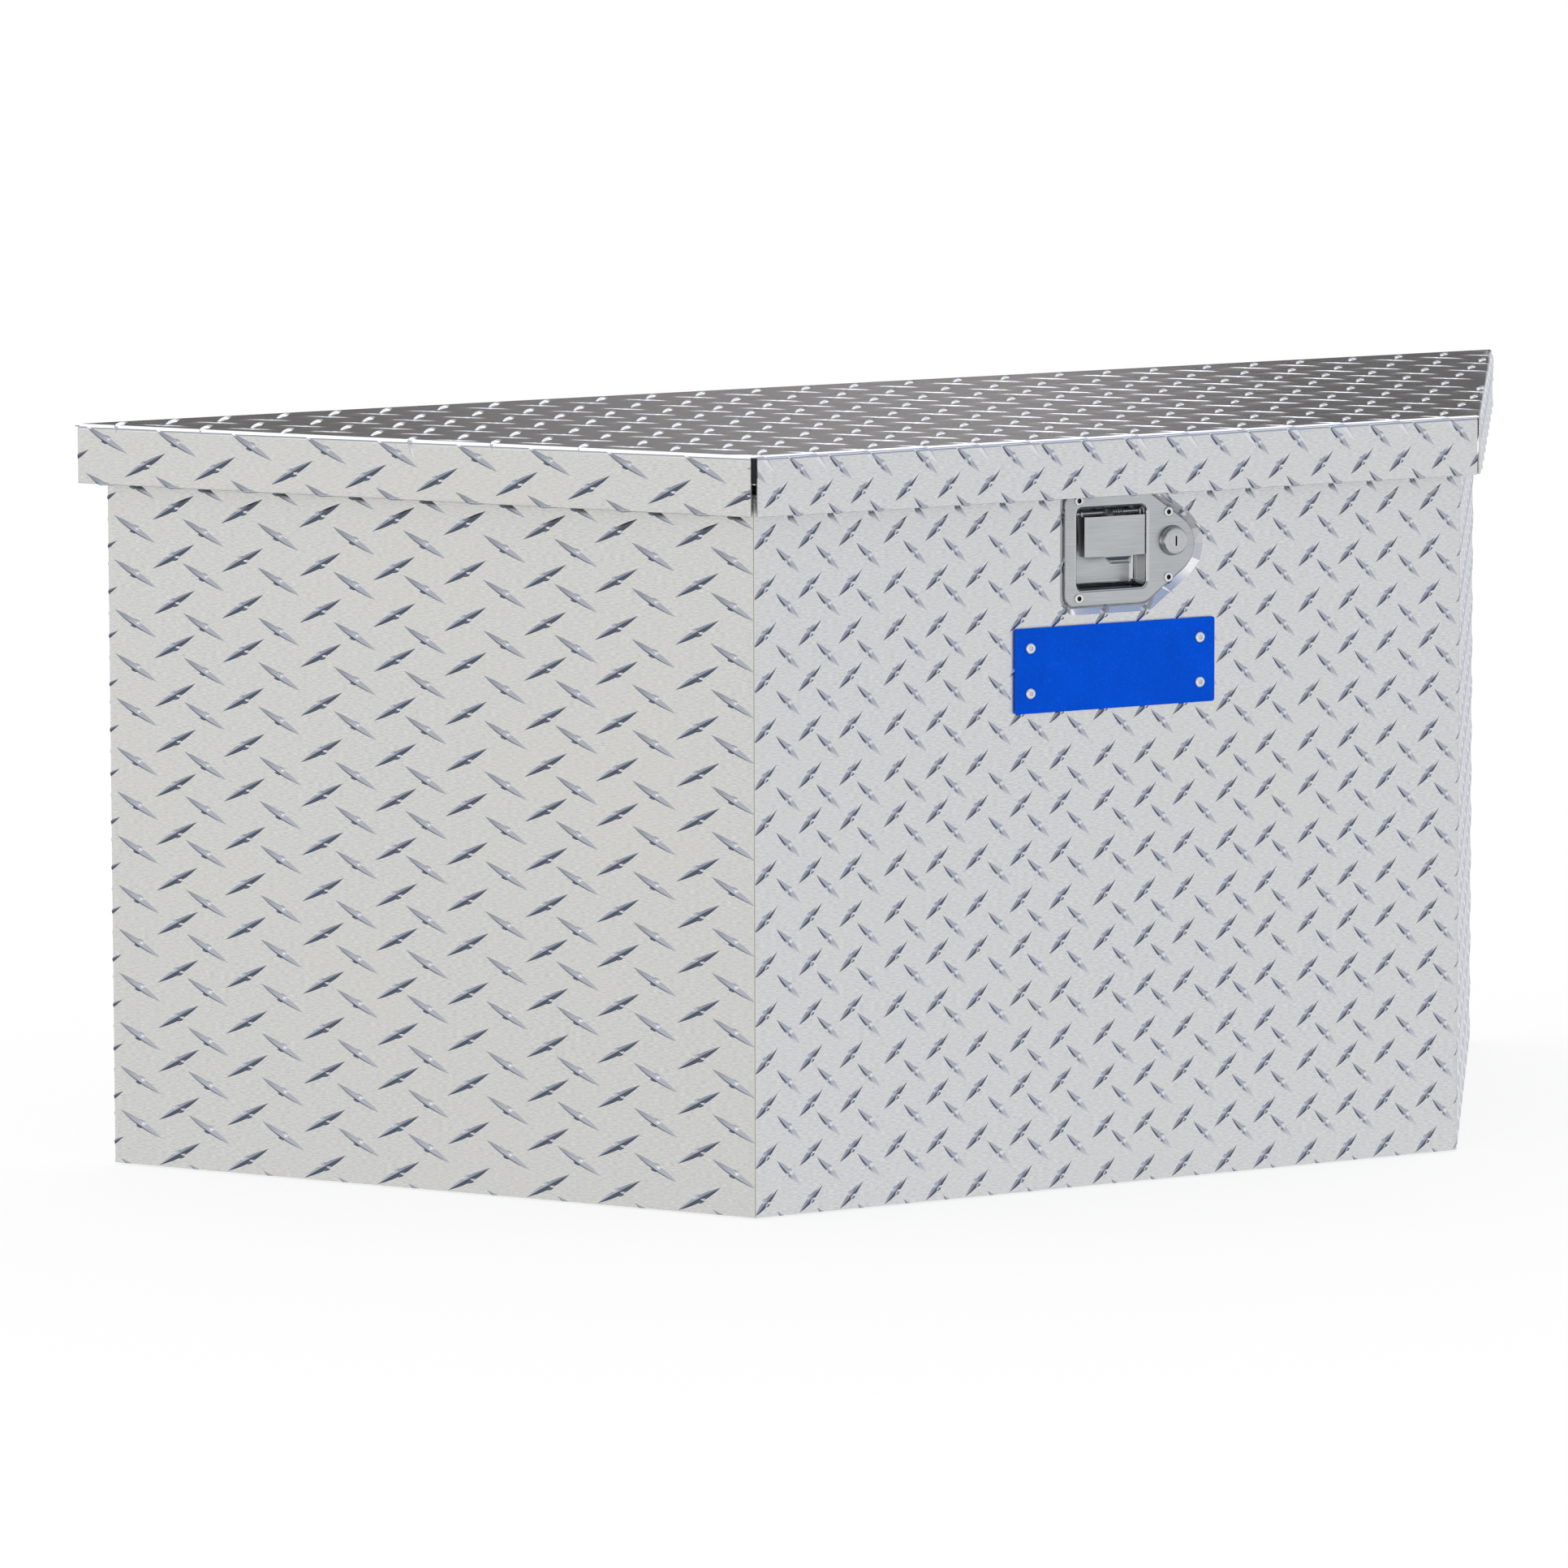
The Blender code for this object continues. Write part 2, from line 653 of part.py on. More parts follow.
def make_paddle(tub):
    pin_at = at_latch(PADDLE_PIN_DEPTH, 0, PADDLE_PIN_RISE)
    moving = body("paddle_pivot", pin_at)
    left = PADDLE_LEFT_GAP - PAN_WIDTH / 2
    right = PAN_WIDTH / 2 - PADDLE_RIGHT_GAP
    (tab_left, tab_right), (tip_left, tip_right) = PADDLE_TAB
    outline = [
        (left, PADDLE_BOTTOM),
        (tab_left, PADDLE_BOTTOM),
        (tip_left, PADDLE_BOTTOM - PADDLE_TAB_DROP),
        (tip_right, PADDLE_BOTTOM - PADDLE_TAB_DROP),
        (tab_right, PADDLE_BOTTOM),
        (right, PADDLE_BOTTOM),
        (right, PADDLE_TOP),
        (left, PADDLE_TOP),
    ]
    middle = PLATE_FRONT + PADDLE_SHEET / 2
    face = sheet("paddle", [Vector(p) for p in outline], PADDLE_SHEET)
    paddle = part("paddle", face, "stainless", moving, at_latch(middle), FACING_FRONT)
    ear = PADDLE_EAR
    far = PADDLE_PIN_DEPTH + ear
    rise = PADDLE_PIN_RISE
    ears = rounded(
        [
            (middle, PADDLE_BOTTOM, 0),
            (PADDLE_PIN_DEPTH, PADDLE_BOTTOM, 0),
            (far, rise - ear, 0),
            (far, rise + ear, ear * ALMOST_ROUND),
            (far - 2 * ear, rise + ear, ear * ALMOST_ROUND),
            (far - 2 * ear, PADDLE_TOP, 0),
            (middle, PADDLE_TOP, 0),
        ]
    )
    hole = circle(PADDLE_PIN_RADIUS + GAP, PADDLE_PIN_DEPTH, rise, RIVET_ROUND)
    for name, x in (
        ("paddle_left_ear", left + PADDLE_SHEET / 2),
        ("paddle_right_ear", right - PADDLE_SHEET / 2),
    ):
        shape = sheet(name, ears, PADDLE_SHEET, [hole])
        cutter(name, shape, paddle, at_latch(0, x), FACING_RIGHT, "UNION", solver="MANIFOLD")

    back = PLATE_FRONT + PADDLE_SHEET + GAP
    end = PADDLE_PIN_DEPTH + LEVER_REACH
    near = PADDLE_PIN_DEPTH - PADDLE_EAR
    outline = [
        (back, PADDLE_TOP - LEVER_FOOT),
        (back + LEVER_HALF_HEIGHT, PADDLE_TOP - LEVER_FOOT),
        (near, rise - PADDLE_EAR),
        (PADDLE_PIN_DEPTH + PADDLE_EAR, rise - PADDLE_EAR),
        (PADDLE_PIN_DEPTH + 2 * PADDLE_EAR, rise - LEVER_HALF_HEIGHT),
        (end, rise - LEVER_HALF_HEIGHT),
        (end, rise + LEVER_HALF_HEIGHT),
        (PADDLE_PIN_DEPTH + 2 * PADDLE_EAR, rise + LEVER_HALF_HEIGHT),
        (PADDLE_PIN_DEPTH + PADDLE_EAR, rise + PADDLE_EAR),
        (near, rise + PADDLE_EAR),
        (back, PADDLE_TOP),
    ]
    lever = flat("paddle_lever", [Vector(p) for p in outline], LEVER_WIDTH, [hole])
    part("paddle_lever", lever, "zinc_steel", moving, at_latch(0), FACING_RIGHT)

    length = PAN_WIDTH - 2 * GAP
    pin = rods("paddle_pin", PADDLE_PIN_RADIUS, length, [(0, 0)], RIVET_ROUND)
    part("paddle_pin", pin, "zinc_steel", tub, pin_at, FACING_RIGHT)
    start = LEVER_WIDTH / 2 + LEVER_SIDE_GAP
    length = (right - PADDLE_SHEET - start) / 2
    radius = PADDLE_PIN_RADIUS + SPRING_CLEARANCE + SPRING_WIRE
    spring = coil("paddle_spring", radius, length, PADDLE_SPRING_TURNS)
    middle = pin_at + Vector((start + length / 2, 0, 0))
    part("paddle_spring", spring, "zinc_steel", tub, middle, FACING_RIGHT)


def make_hook(tub):
    pivot = at_latch(HOOK_PIVOT_DEPTH, 0, HOOK_PIVOT_RISE)
    moving = body("hook_pivot", pivot)
    neck_front, neck_back = HOOK_NECK
    outline = [
        (-HOOK_HUB, -HOOK_HUB),
        (HOOK_HUB, -HOOK_HUB),
        (HOOK_HUB, HOOK_HUB),
        (neck_back, HOOK_HUB + (HOOK_HUB - neck_back)),
        (neck_back, HOOK_CATCH_RISE),
        (HOOK_NOSE, HOOK_CATCH_RISE),
        (HOOK_NOSE, HOOK_CATCH_RISE + HOOK_NOSE_THICKNESS),
        (neck_back, HOOK_TOP),
        (neck_front, HOOK_TOP),
        (neck_front, HOOK_HUB),
        (-HOOK_ARM, HOOK_ARM_TOP),
        (-HOOK_ARM, 0),
        (-HOOK_HUB, -HOOK_ARM_TOP),
    ]
    hole = circle(HOOK_PIN_RADIUS + GAP, 0, 0, RIVET_ROUND)
    hook = flat("latch_hook", [Vector(p) for p in outline], HOOK_WIDTH, [hole])
    part("latch_hook", hook, "zinc_steel", moving, pivot, FACING_RIGHT)
    length = 2 * (BRACKET_HALF_WIDTH + BRACKET_SHEET)
    pin = rods("hook_pin", HOOK_PIN_RADIUS, length, [(0, 0)], RIVET_ROUND)
    part("hook_pin", pin, "zinc_steel", tub, pivot, FACING_RIGHT)
    left = HOOK_WIDTH / 2 + SPRING_CLEARANCE
    length = BRACKET_HALF_WIDTH - BRACKET_SHEET - SPRING_CLEARANCE - left
    radius = HOOK_PIN_RADIUS + SPRING_CLEARANCE + SPRING_WIRE
    spring = coil("hook_spring", radius, length, HOOK_SPRING_TURNS)
    part("hook_spring", spring, "zinc_steel", tub, pivot + Vector((left + length / 2, 0, 0)), FACING_RIGHT)

    front = PAN_BACK + GAP
    half = LEVER_WIDTH / 2 + LEVER_SIDE_GAP
    slot = rectangle(-half, LEVER_SLOT_BOTTOM, half, LEVER_SLOT_TOP)
    bottom = PAN_TOP - BRACKET_BASE_HEIGHT
    outer = rectangle(-BRACKET_HALF_WIDTH, bottom, BRACKET_HALF_WIDTH, PAN_TOP)
    middle = front + BRACKET_BASE / 2
    base = sheet("hook_bracket", outer, BRACKET_BASE, [slot])
    bracket = part("hook_bracket", base, "zinc_steel", tub, at_latch(middle), FACING_FRONT)
    far = HOOK_PIVOT_DEPTH + BRACKET_BEYOND_PIVOT
    cheek = rectangle(middle, BRACKET_CHEEK_BOTTOM, far, BRACKET_CHEEK_TOP)
    hole = circle(HOOK_PIN_RADIUS + GAP, HOOK_PIVOT_DEPTH, HOOK_PIVOT_RISE, RIVET_ROUND)
    for side in (-1, 1):
        name = "bracket_left_cheek" if side < 0 else "bracket_right_cheek"
        x = side * (BRACKET_HALF_WIDTH - BRACKET_SHEET / 2)
        shape = sheet(name, cheek, BRACKET_SHEET, [hole])
        cutter(name, shape, bracket, at_latch(0, x), FACING_RIGHT, "UNION", solver="MANIFOLD")


def make_lock(tub):
    seat = PLATE_FRONT - GAP
    at = at_latch(seat, LOCK_X, LOCK_RISE)
    bore = LOCK_PLUG_RADIUS + GAP
    points = [
        (bore, LOCK_PROUD),
        (LOCK_FACE_RADIUS, LOCK_PROUD),
        (LOCK_CAP_RADIUS, LOCK_PROUD - LOCK_CHAMFER),
        (LOCK_CAP_RADIUS, 0),
        (LOCK_BARREL_RADIUS, 0),
        (LOCK_BARREL_RADIUS, -LOCK_LENGTH),
        (bore, -LOCK_LENGTH),
        (bore, LOCK_PROUD),
    ]
    turned(part("lock_cylinder", profile("lock_cylinder", points), "chrome", tub, at, FACING_FRONT), ROUND)

    moving = body("lock_pivot", at)
    length = LOCK_PROUD + LOCK_LENGTH + GAP
    plug = rods("lock_plug", LOCK_PLUG_RADIUS, length, [(0, 0)])
    middle = seat - LOCK_PROUD + length / 2
    plug = part("lock_plug", plug, "chrome", moving, at_latch(middle, LOCK_X, LOCK_RISE), FACING_FRONT)
    half = KEYWAY_WIDTH / 2
    high = KEYWAY_HEIGHT / 2
    key = sheet("keyway", rectangle(-half, -high, half, high), 2 * KEYWAY_DEPTH)
    cutter("keyway", key, plug, at_latch(seat - LOCK_PROUD, LOCK_X, LOCK_RISE), FACING_FRONT)
    half = CAM_WIDTH / 2
    arm = rectangle(-half, -CAM_LENGTH + half, half, half, half * ALMOST_ROUND)
    depth = seat + LOCK_LENGTH + 2 * GAP + CAM_SHEET / 2
    cam = flat("lock_cam", arm, CAM_SHEET)
    part("lock_cam", cam, "zinc_steel", moving, at_latch(depth, LOCK_X, LOCK_RISE), FACING_FRONT)

    ring = circle(NUT_FLAT / 2 / cos(pi / 6), 0, 0, 6)
    nut = flat("lock_nut", ring, NUT_THICKNESS, [circle(LOCK_BARREL_RADIUS + GAP)])
    depth = RECESS_BACK + GAP + NUT_THICKNESS / 2
    part("lock_nut", nut, "zinc_steel", tub, at_latch(depth, LOCK_X, LOCK_RISE), FACING_FRONT)


def make_nameplate(tub):
    half = NAMEPLATE_WIDTH / 2
    high = NAMEPLATE_HEIGHT / 2
    holes = [circle(RIVET_SHANK + GAP, x, z, RIVET_ROUND) for x, z in nameplate_rivets()]
    outline = rectangle(-half, -high, half, high, NAMEPLATE_CORNER)
    plate = flat("nameplate", outline, NAMEPLATE_THICKNESS, holes)
    depth = -NAMEPLATE_STAND_OFF - NAMEPLATE_THICKNESS / 2
    part("nameplate", plate, "blue_plate", tub, at_latch(depth, 0, -NAMEPLATE_DROP), FACING_FRONT)
    seat = -NAMEPLATE_STAND_OFF - NAMEPLATE_THICKNESS - GAP
    for i, (x, z) in enumerate(nameplate_rivets()):
        place = at_latch(seat, x, z - NAMEPLATE_DROP)
        name = f"nameplate_rivet_{i + 1}"
        rivet(name, tub, "plain_aluminium", place, FACING_FRONT, SHEET - seat, NAMEPLATE_RIVET_HEAD)


def comb(sign, first):
    """A leaf's outline in x and z, with a tooth that just passes the axis at every other knuckle."""
    pitch = HINGE_LENGTH / KNUCKLES
    half = HINGE_LENGTH / 2
    edge = sign * (KNUCKLE_RADIUS + PIN_CLEARANCE)
    inner = KNUCKLE_GAP
    end = -sign * PIN_CLEARANCE
    outline = [Vector((half, sign * LEAF_HEIGHT)), Vector((-half, sign * LEAF_HEIGHT)), Vector((-half, edge))]
    for i in range(first, KNUCKLES, 2):
        left = i * pitch - half + inner
        right = (i + 1) * pitch - half - inner
        outline += [Vector((left, edge)), Vector((left, end)), Vector((right, end)), Vector((right, edge))]
    return outline + [Vector((half, edge))]


def hinge_rolls(name, first):
    """The knuckles of one leaf along local z, each a barrel."""
    pitch = HINGE_LENGTH / KNUCKLES
    half_step = pi / RIVET_ROUND
    ring = [Matrix.Rotation(half_step, 2) @ p for p in circle(KNUCKLE_RADIUS, 0, 0, RIVET_ROUND)]
    roll = sheet(f"{name}_roll", ring, pitch - KNUCKLE_GAP)
    rolls = bmesh.new()
    for i in range(first, KNUCKLES, 2):
        start = len(rolls.verts)
        rolls.from_mesh(roll)
        rolls.verts.ensure_lookup_table()
        along = (i + 0.5) * pitch - HINGE_LENGTH / 2
        bmesh.ops.translate(rolls, verts=rolls.verts[start:], vec=(0, 0, along))
    mesh = bpy.data.meshes.new(f"{name}_rolls")
    rolls.to_mesh(mesh)
    rolls.free()
    return mesh


def hinge_leaf(name, carrier, sign, first):
    """One leaf with its knuckles: above the axis for sign 1, on the lid, and below it for -1, on the tub."""
    off_axis = Vector((0, sign * (KNUCKLE_RADIUS - LEAF / 2), 0))
    plate = sheet(name, comb(sign, first), LEAF)
    leaf = part(name, plate, "zinc_steel", carrier, HINGE_AXIS + off_axis, FACING_FRONT)
    rolls = hinge_rolls(name, first)
    cutter(f"{name}_rolls", rolls, leaf, HINGE_AXIS, FACING_RIGHT, "UNION", solver="MANIFOLD")
    bore = circle(HINGE_PIN_RADIUS + PIN_CLEARANCE, 0, 0, RIVET_ROUND)
    hole = sheet(f"{name}_bore", bore, 2 * HINGE_LENGTH)
    cutter(f"{name}_bore", hole, leaf, HINGE_AXIS, FACING_RIGHT)
    spots = [(x, 0) for x in hinge_rivet_places()]
    hole = rods(f"{name}_holes", RIVET_SHANK + GAP, 4 * KNUCKLE_RADIUS, spots, RIVET_ROUND)
    rise = Vector((0, 0, sign * leaf_rivet_height()))
    cutter(f"{name}_holes", hole, leaf, HINGE_AXIS + rise, FACING_FRONT)


def make_hinge(tub, lid):
    hinge_leaf("hinge_tub_leaf", tub, -1, 0)
    hinge_leaf("hinge_lid_leaf", lid, 1, 1)
    pin = sheet("hinge_pin", circle(HINGE_PIN_RADIUS, 0, 0, RIVET_ROUND), HINGE_LENGTH)
    part("hinge_pin", pin, "zinc_steel", tub, HINGE_AXIS, FACING_RIGHT)

    height = leaf_rivet_height()
    for i, x in enumerate(hinge_rivet_places()):
        seat = HINGE_AXIS + Vector((x, LEAF - KNUCKLE_RADIUS + GAP, -height))
        grip = LEAF + 2 * GAP + SHEET
        rivet(f"hinge_tub_rivet_{i + 1}", tub, "plain_aluminium", seat, FACING_REAR, grip)
        seat = Vector((x, REAR_Y + LID_REAR_OVERHANG + GAP, HINGE_AXIS.z + height))
        grip = SHEET + 2 * GAP + LEAF - RIVET_TAIL + GAP
        rivet(f"hinge_lid_rivet_{i + 1}", lid, "plain_aluminium", seat, FACING_REAR, grip)


def strut_eye(name, thing, z):
    """Adds an eye across the strut's end at local height z, and bores it."""
    ring = rods(f"{name}_eye", EYE_RADIUS, EYE_WIDTH, [(0, 0)])
    cutter(f"{name}_eye", ring, thing, (0, 0, z), (0, pi / 2, 0), "UNION", local=True)
    hole = rods(f"{name}_eye_bore", STUD_RADIUS + GAP, 2 * EYE_WIDTH, [(0, 0)])
    cutter(f"{name}_eye_bore", hole, thing, (0, 0, z), (0, pi / 2, 0), local=True)


def stud_profile(name, inner, reach):
    """A stud through an eye, with its head at -inner and its end at reach."""
    points = [
        (0, reach),
        (STUD_RADIUS, reach),
        (STUD_RADIUS, -inner),
        (STUD_HEAD, -inner),
        (STUD_HEAD, -inner - STUD_HEAD_HEIGHT),
        (0, -inner - STUD_HEAD_HEIGHT),
    ]
    return profile(name, points)


def make_strut(word, side, tub, lid):
    """One gas strut. Its brackets stand on the side away from the middle."""
    tub_end = STRUT_TUB + Vector((side * STRUT_X, 0, 0))
    lean = (STRUT_LEAN, 0, 0)
    swing = body(f"{word}_strut_pivot", tub_end, lean)
    slide = body(f"{word}_strut_slide", (0, 0, 0), parent=swing)

    top = STRUT_LENGTH - ROD_END_CLEARANCE
    name = f"{word}_strut_cylinder"
    low = EYE_RADIUS / 2
    tube = rods(name, TUBE_RADIUS, top - low, [(0, 0)])
    tube = part(name, tube, "black_enamel", swing, (0, 0, (low + top) / 2), local=True)
    strut_eye(name, tube, 0)
    bore = rods(f"{name}_bore", ROD_RADIUS + TUBE_CLEARANCE, top, [(0, 0)])
    cutter(f"{name}_bore", bore, tube, (0, 0, TUBE_FLOOR + top / 2), local=True)

    name = f"{word}_strut_rod"
    low = TUBE_FLOOR + GAP
    high = STRUT_LENGTH - EYE_RADIUS / 2 - STUD_RADIUS / 2
    rod = rods(name, ROD_RADIUS, high - low, [(0, 0)])
    rod = part(name, rod, "chrome", slide, (0, 0, (low + high) / 2), local=True)
    strut_eye(name, rod, STRUT_LENGTH)

    inner = EYE_WIDTH / 2 + GAP
    tab = inner + STRUT_BRACKET_SHEET
    facing = (0, side * pi / 2, 0)
    name = f"{word}_strut_tub_stud"
    stud = stud_profile(name, inner, tab + STUD_TAIL)
    turned(part(name, stud, "zinc_steel", tub, tub_end, facing), ROUND)
    name = f"{word}_strut_lid_stud"
    stud = stud_profile(name, inner, inner - GAP)
    turned(part(name, stud, "zinc_steel", slide, (0, 0, STRUT_LENGTH), facing, local=True), ROUND)

    rear = REAR_Y - SHEET - GAP
    front = STRUT_TUB.y - STRUT_BRACKET_ROUND
    foot = STRUT_X + inner + STRUT_BRACKET_FOOT
    near = STRUT_X + inner
    outline = [
        (near, front),
        (near + STRUT_BRACKET_SHEET, front),
        (near + STRUT_BRACKET_SHEET, rear - STRUT_BRACKET_SHEET),
        (foot, rear - STRUT_BRACKET_SHEET),
        (foot, rear),
        (near, rear),
    ]
    name = f"{word}_strut_tub_bracket"
    shape = sheet(name, [Vector((side * x, y)) for x, y in outline], STRUT_BRACKET_LENGTH)
    bracket = part(name, shape, "zinc_steel", tub, (0, 0, STRUT_TUB.z))
    hole = rods(f"{name}_hole", STUD_RADIUS + GAP, STRUT_BRACKET_FOOT, [(0, 0)])
    place = Vector((side * near, STRUT_TUB.y, STRUT_TUB.z))
    cutter(f"{name}_hole", hole, bracket, place, (0, pi / 2, 0))

    high = LINER_BOTTOM - GAP
    low = STRUT_LID.z - STRUT_BRACKET_ROUND
    outline = [
        (near, low),
        (near + STRUT_BRACKET_SHEET, low),
        (near + STRUT_BRACKET_SHEET, high - STRUT_BRACKET_SHEET),
        (foot, high - STRUT_BRACKET_SHEET),
        (foot, high),
        (near, high),
    ]
    name = f"{word}_strut_lid_bracket"
    shape = flat(name, [Vector((side * x, z)) for x, z in outline], STRUT_BRACKET_LENGTH)
    part(name, shape, "zinc_steel", lid, (0, STRUT_LID.y, 0), FACING_FRONT)


def make_lid(lid):
    outer = plan(-LID_OVERHANG, -LID_REAR_OVERHANG)
    inner = plan(SHEET - LID_OVERHANG, SHEET - LID_REAR_OVERHANG)
    block = sheet("lid_skin", outer, SKIRT_HEIGHT)
    skin = part("lid_skin", block, "tread_plate", lid, (0, 0, HEIGHT - SKIRT_HEIGHT / 2))
    hollow = sheet("lid_hollow", inner, 2 * (SKIRT_HEIGHT - SHEET))
    cutter("lid_hollow", hollow, skin, (0, 0, SKIRT_BOTTOM))
    for i, corner in enumerate(outer):
        to_next = (outer[(i + 1) % 4] - corner).normalized()
        to_last = (outer[i - 1] - corner).normalized()
        inward = to_next + to_last
        long = LID_OVERHANG
        high = SKIRT_HEIGHT - CORNER_SLOT_TOP
        slot = blocks(
            f"lid_slot_{i + 1}",
            [((-long, -CORNER_SLOT / 2, -high), (long, CORNER_SLOT / 2, high))],
        )
        turn = (0, 0, atan2(inward.y, inward.x))
        cutter(f"lid_slot_{i + 1}", slot, skin, (*corner, SKIRT_BOTTOM), turn)
    spots = [(x, 0) for x in hinge_rivet_places()]
    hole = rods("lid_rivet_holes", RIVET_SHANK + GAP, 4 * SHEET, spots, RIVET_ROUND)
    rise = HINGE_AXIS.z + leaf_rivet_height()
    cutter("lid_rivet_holes", hole, skin, (0, REAR_Y + LID_REAR_OVERHANG, rise), FACING_FRONT)

    inset = SHEET + LINER_MARGIN - LID_OVERHANG
    rear_inset = SHEET + LINER_MARGIN - LID_REAR_OVERHANG
    fill = plan(inset, rear_inset)
    middle = CORE_TOP - CORE_THICKNESS / 2
    part("lid_core", flat("lid_core", fill, CORE_THICKNESS), "foam", lid, (0, 0, middle))
    middle = LINER_TOP - LINER_SHEET / 2
    part("lid_liner", flat("lid_liner", fill, LINER_SHEET), "plain_aluminium", lid, (0, 0, middle))

    front = HOOK_PIVOT_DEPTH + HOOK_NECK[1] + KEEPER_FLANGE_GAP
    leg = HOOK_PIVOT_DEPTH + HOOK_NOSE + KEEPER_FLANGE_GAP
    high = LINER_BOTTOM - GAP
    low = LATCH_Z + HOOK_PIVOT_RISE + HOOK_TOP + KEEPER_FLANGE_GAP
    outline = [
        (front, low),
        (leg + KEEPER_SHEET, low),
        (leg + KEEPER_SHEET, high - KEEPER_SHEET),
        (leg + KEEPER_FOOT, high - KEEPER_SHEET),
        (leg + KEEPER_FOOT, high),
        (leg, high),
        (leg, low + KEEPER_SHEET),
        (front, low + KEEPER_SHEET),
    ]
    keeper = flat("lid_keeper", [Vector(p) for p in outline], KEEPER_WIDTH)
    part("lid_keeper", keeper, "stainless", lid, (0, FRONT_Y, 0), FACING_RIGHT)


clear_scene()
PARTS = collection("tongue_tool_box")
CUTTERS = collection("cutters", hidden=True)
TUB = body("tub", (0, 0, 0))
LID = body("lid_pivot", HINGE_AXIS)
make_tub(TUB)
make_latch_housing(TUB)
make_paddle(TUB)
make_hook(TUB)
make_lock(TUB)
make_nameplate(TUB)
make_hinge(TUB, LID)
make_strut("left", -1, TUB, LID)
make_strut("right", 1, TUB, LID)
make_lid(LID)
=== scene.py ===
"""Looks of the trailer-tongue tool box: lugged sheet, brushed latch, studio light and the camera."""

import json
import math

import bmesh
import bpy
import numpy as np
from mathutils import Matrix, Vector
from mathutils.geometry import delaunay_2d_cdt


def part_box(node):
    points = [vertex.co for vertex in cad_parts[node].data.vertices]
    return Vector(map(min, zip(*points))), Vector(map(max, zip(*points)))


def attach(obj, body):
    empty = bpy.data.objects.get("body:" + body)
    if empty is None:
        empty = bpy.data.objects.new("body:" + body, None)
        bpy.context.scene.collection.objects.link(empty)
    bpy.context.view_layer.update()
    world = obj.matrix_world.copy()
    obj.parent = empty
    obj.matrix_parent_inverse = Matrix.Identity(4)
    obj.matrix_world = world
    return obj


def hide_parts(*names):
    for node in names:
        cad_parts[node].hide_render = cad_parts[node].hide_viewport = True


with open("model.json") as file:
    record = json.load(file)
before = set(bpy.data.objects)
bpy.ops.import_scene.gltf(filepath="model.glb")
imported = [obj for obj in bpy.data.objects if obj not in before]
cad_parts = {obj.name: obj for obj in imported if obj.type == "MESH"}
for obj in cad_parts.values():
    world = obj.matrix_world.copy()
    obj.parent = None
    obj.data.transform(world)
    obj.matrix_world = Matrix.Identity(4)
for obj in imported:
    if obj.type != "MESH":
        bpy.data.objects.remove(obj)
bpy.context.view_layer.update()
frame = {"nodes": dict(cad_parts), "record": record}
NODES = frame["nodes"]
MM = 0.001

# Sizes of the CAD model that the sheets repeat, in metres
FRONT_HALF = 0.304
REAR_HALF = 0.6095
FRONT_Y = -0.22555
REAR_Y = 0.23145
HEIGHT = 0.562
SHEET = 0.0016
RIM_Z = 0.532
RIM_LIP = 0.025
OVERHANG = 0.0152
REAR_OVERHANG = 0.0076
SKIRT = 0.0446
LATCH_Z = 0.477
SLOPE = (REAR_HALF - FRONT_HALF) / (REAR_Y - FRONT_Y)
SIDE_ANGLE = math.atan(SLOPE)
STRETCH = 1 / math.sin(SIDE_ANGLE)
FRONT_TURN = math.pi / 2 - SIDE_ANGLE
REAR_TURN = math.pi / 2 + SIDE_ANGLE
FRONT_LEFT = (-FRONT_HALF, FRONT_Y)
FRONT_RIGHT = (FRONT_HALF, FRONT_Y)
REAR_RIGHT = (REAR_HALF, REAR_Y)
REAR_LEFT = (-REAR_HALF, REAR_Y)

# Sheet folds, the slot at each of the lid's corners, and the width of a side wall's darker olive strip along its front
# corner
CORNER_RADIUS = 0.002
RIM_RADIUS = 0.0025
FOLD_RADIUS = 0.0036
HEM_RADIUS = 0.0003
HEM = 0.004
SLOT_HALF = 0.0025
SLOT_START = 4
CORNER_BAND_WIDTH = 0.0008
FOLD_STEPS = 8
SEAM_STEPS = 3
FOLD_BEND = FOLD_RADIUS * math.pi / 2

# Degrees from which the edges of sheets and of other pieces are sharp
SHEET_SHARP = 13
HOUSING_SHARP = 24
PADDLE_SHARP = 25
TURNED_SHARP = 35

# Lugs: half length along x and z, half width, height, and the round boss under the middle
LUG_HALF = (0.0101, 0.0099)
LUG_WIDTH = 0.0023
LUG_HEIGHT = 0.0011
LUG_WIDTH_STRETCH = 0.35
LUG_RIDGE = {1: 0.14, -1: -0.42}
LID_LUG_HALF = (0.0142, 0.0165)
# Heights of the lid's lugs, and how far their ridges are off their middles
LID_LUGS = {1: (0.00125, 0.3), -1: (0.0003, 0.55)}
LUG_STATIONS = (0.0, 0.22, 0.36, 0.62, 1.0)
LUG_WIDTHS = (1.0, 0.98, 0.91, 0.63, 0.0)
LUG_HEIGHTS = (0.95, 0.93, 0.89, 0.65, 0.0)
BOSS_WIDTH = 1.55
BOSS_LENGTH = 0.23
BOSS_HEIGHT = 0.68
BOSS_RINGS = (0.35, 0.7, 1.0)
BOSS_POINTS = 12
BOSS_CLEAR = 0.9999 * math.cos(math.pi / BOSS_POINTS) ** 2

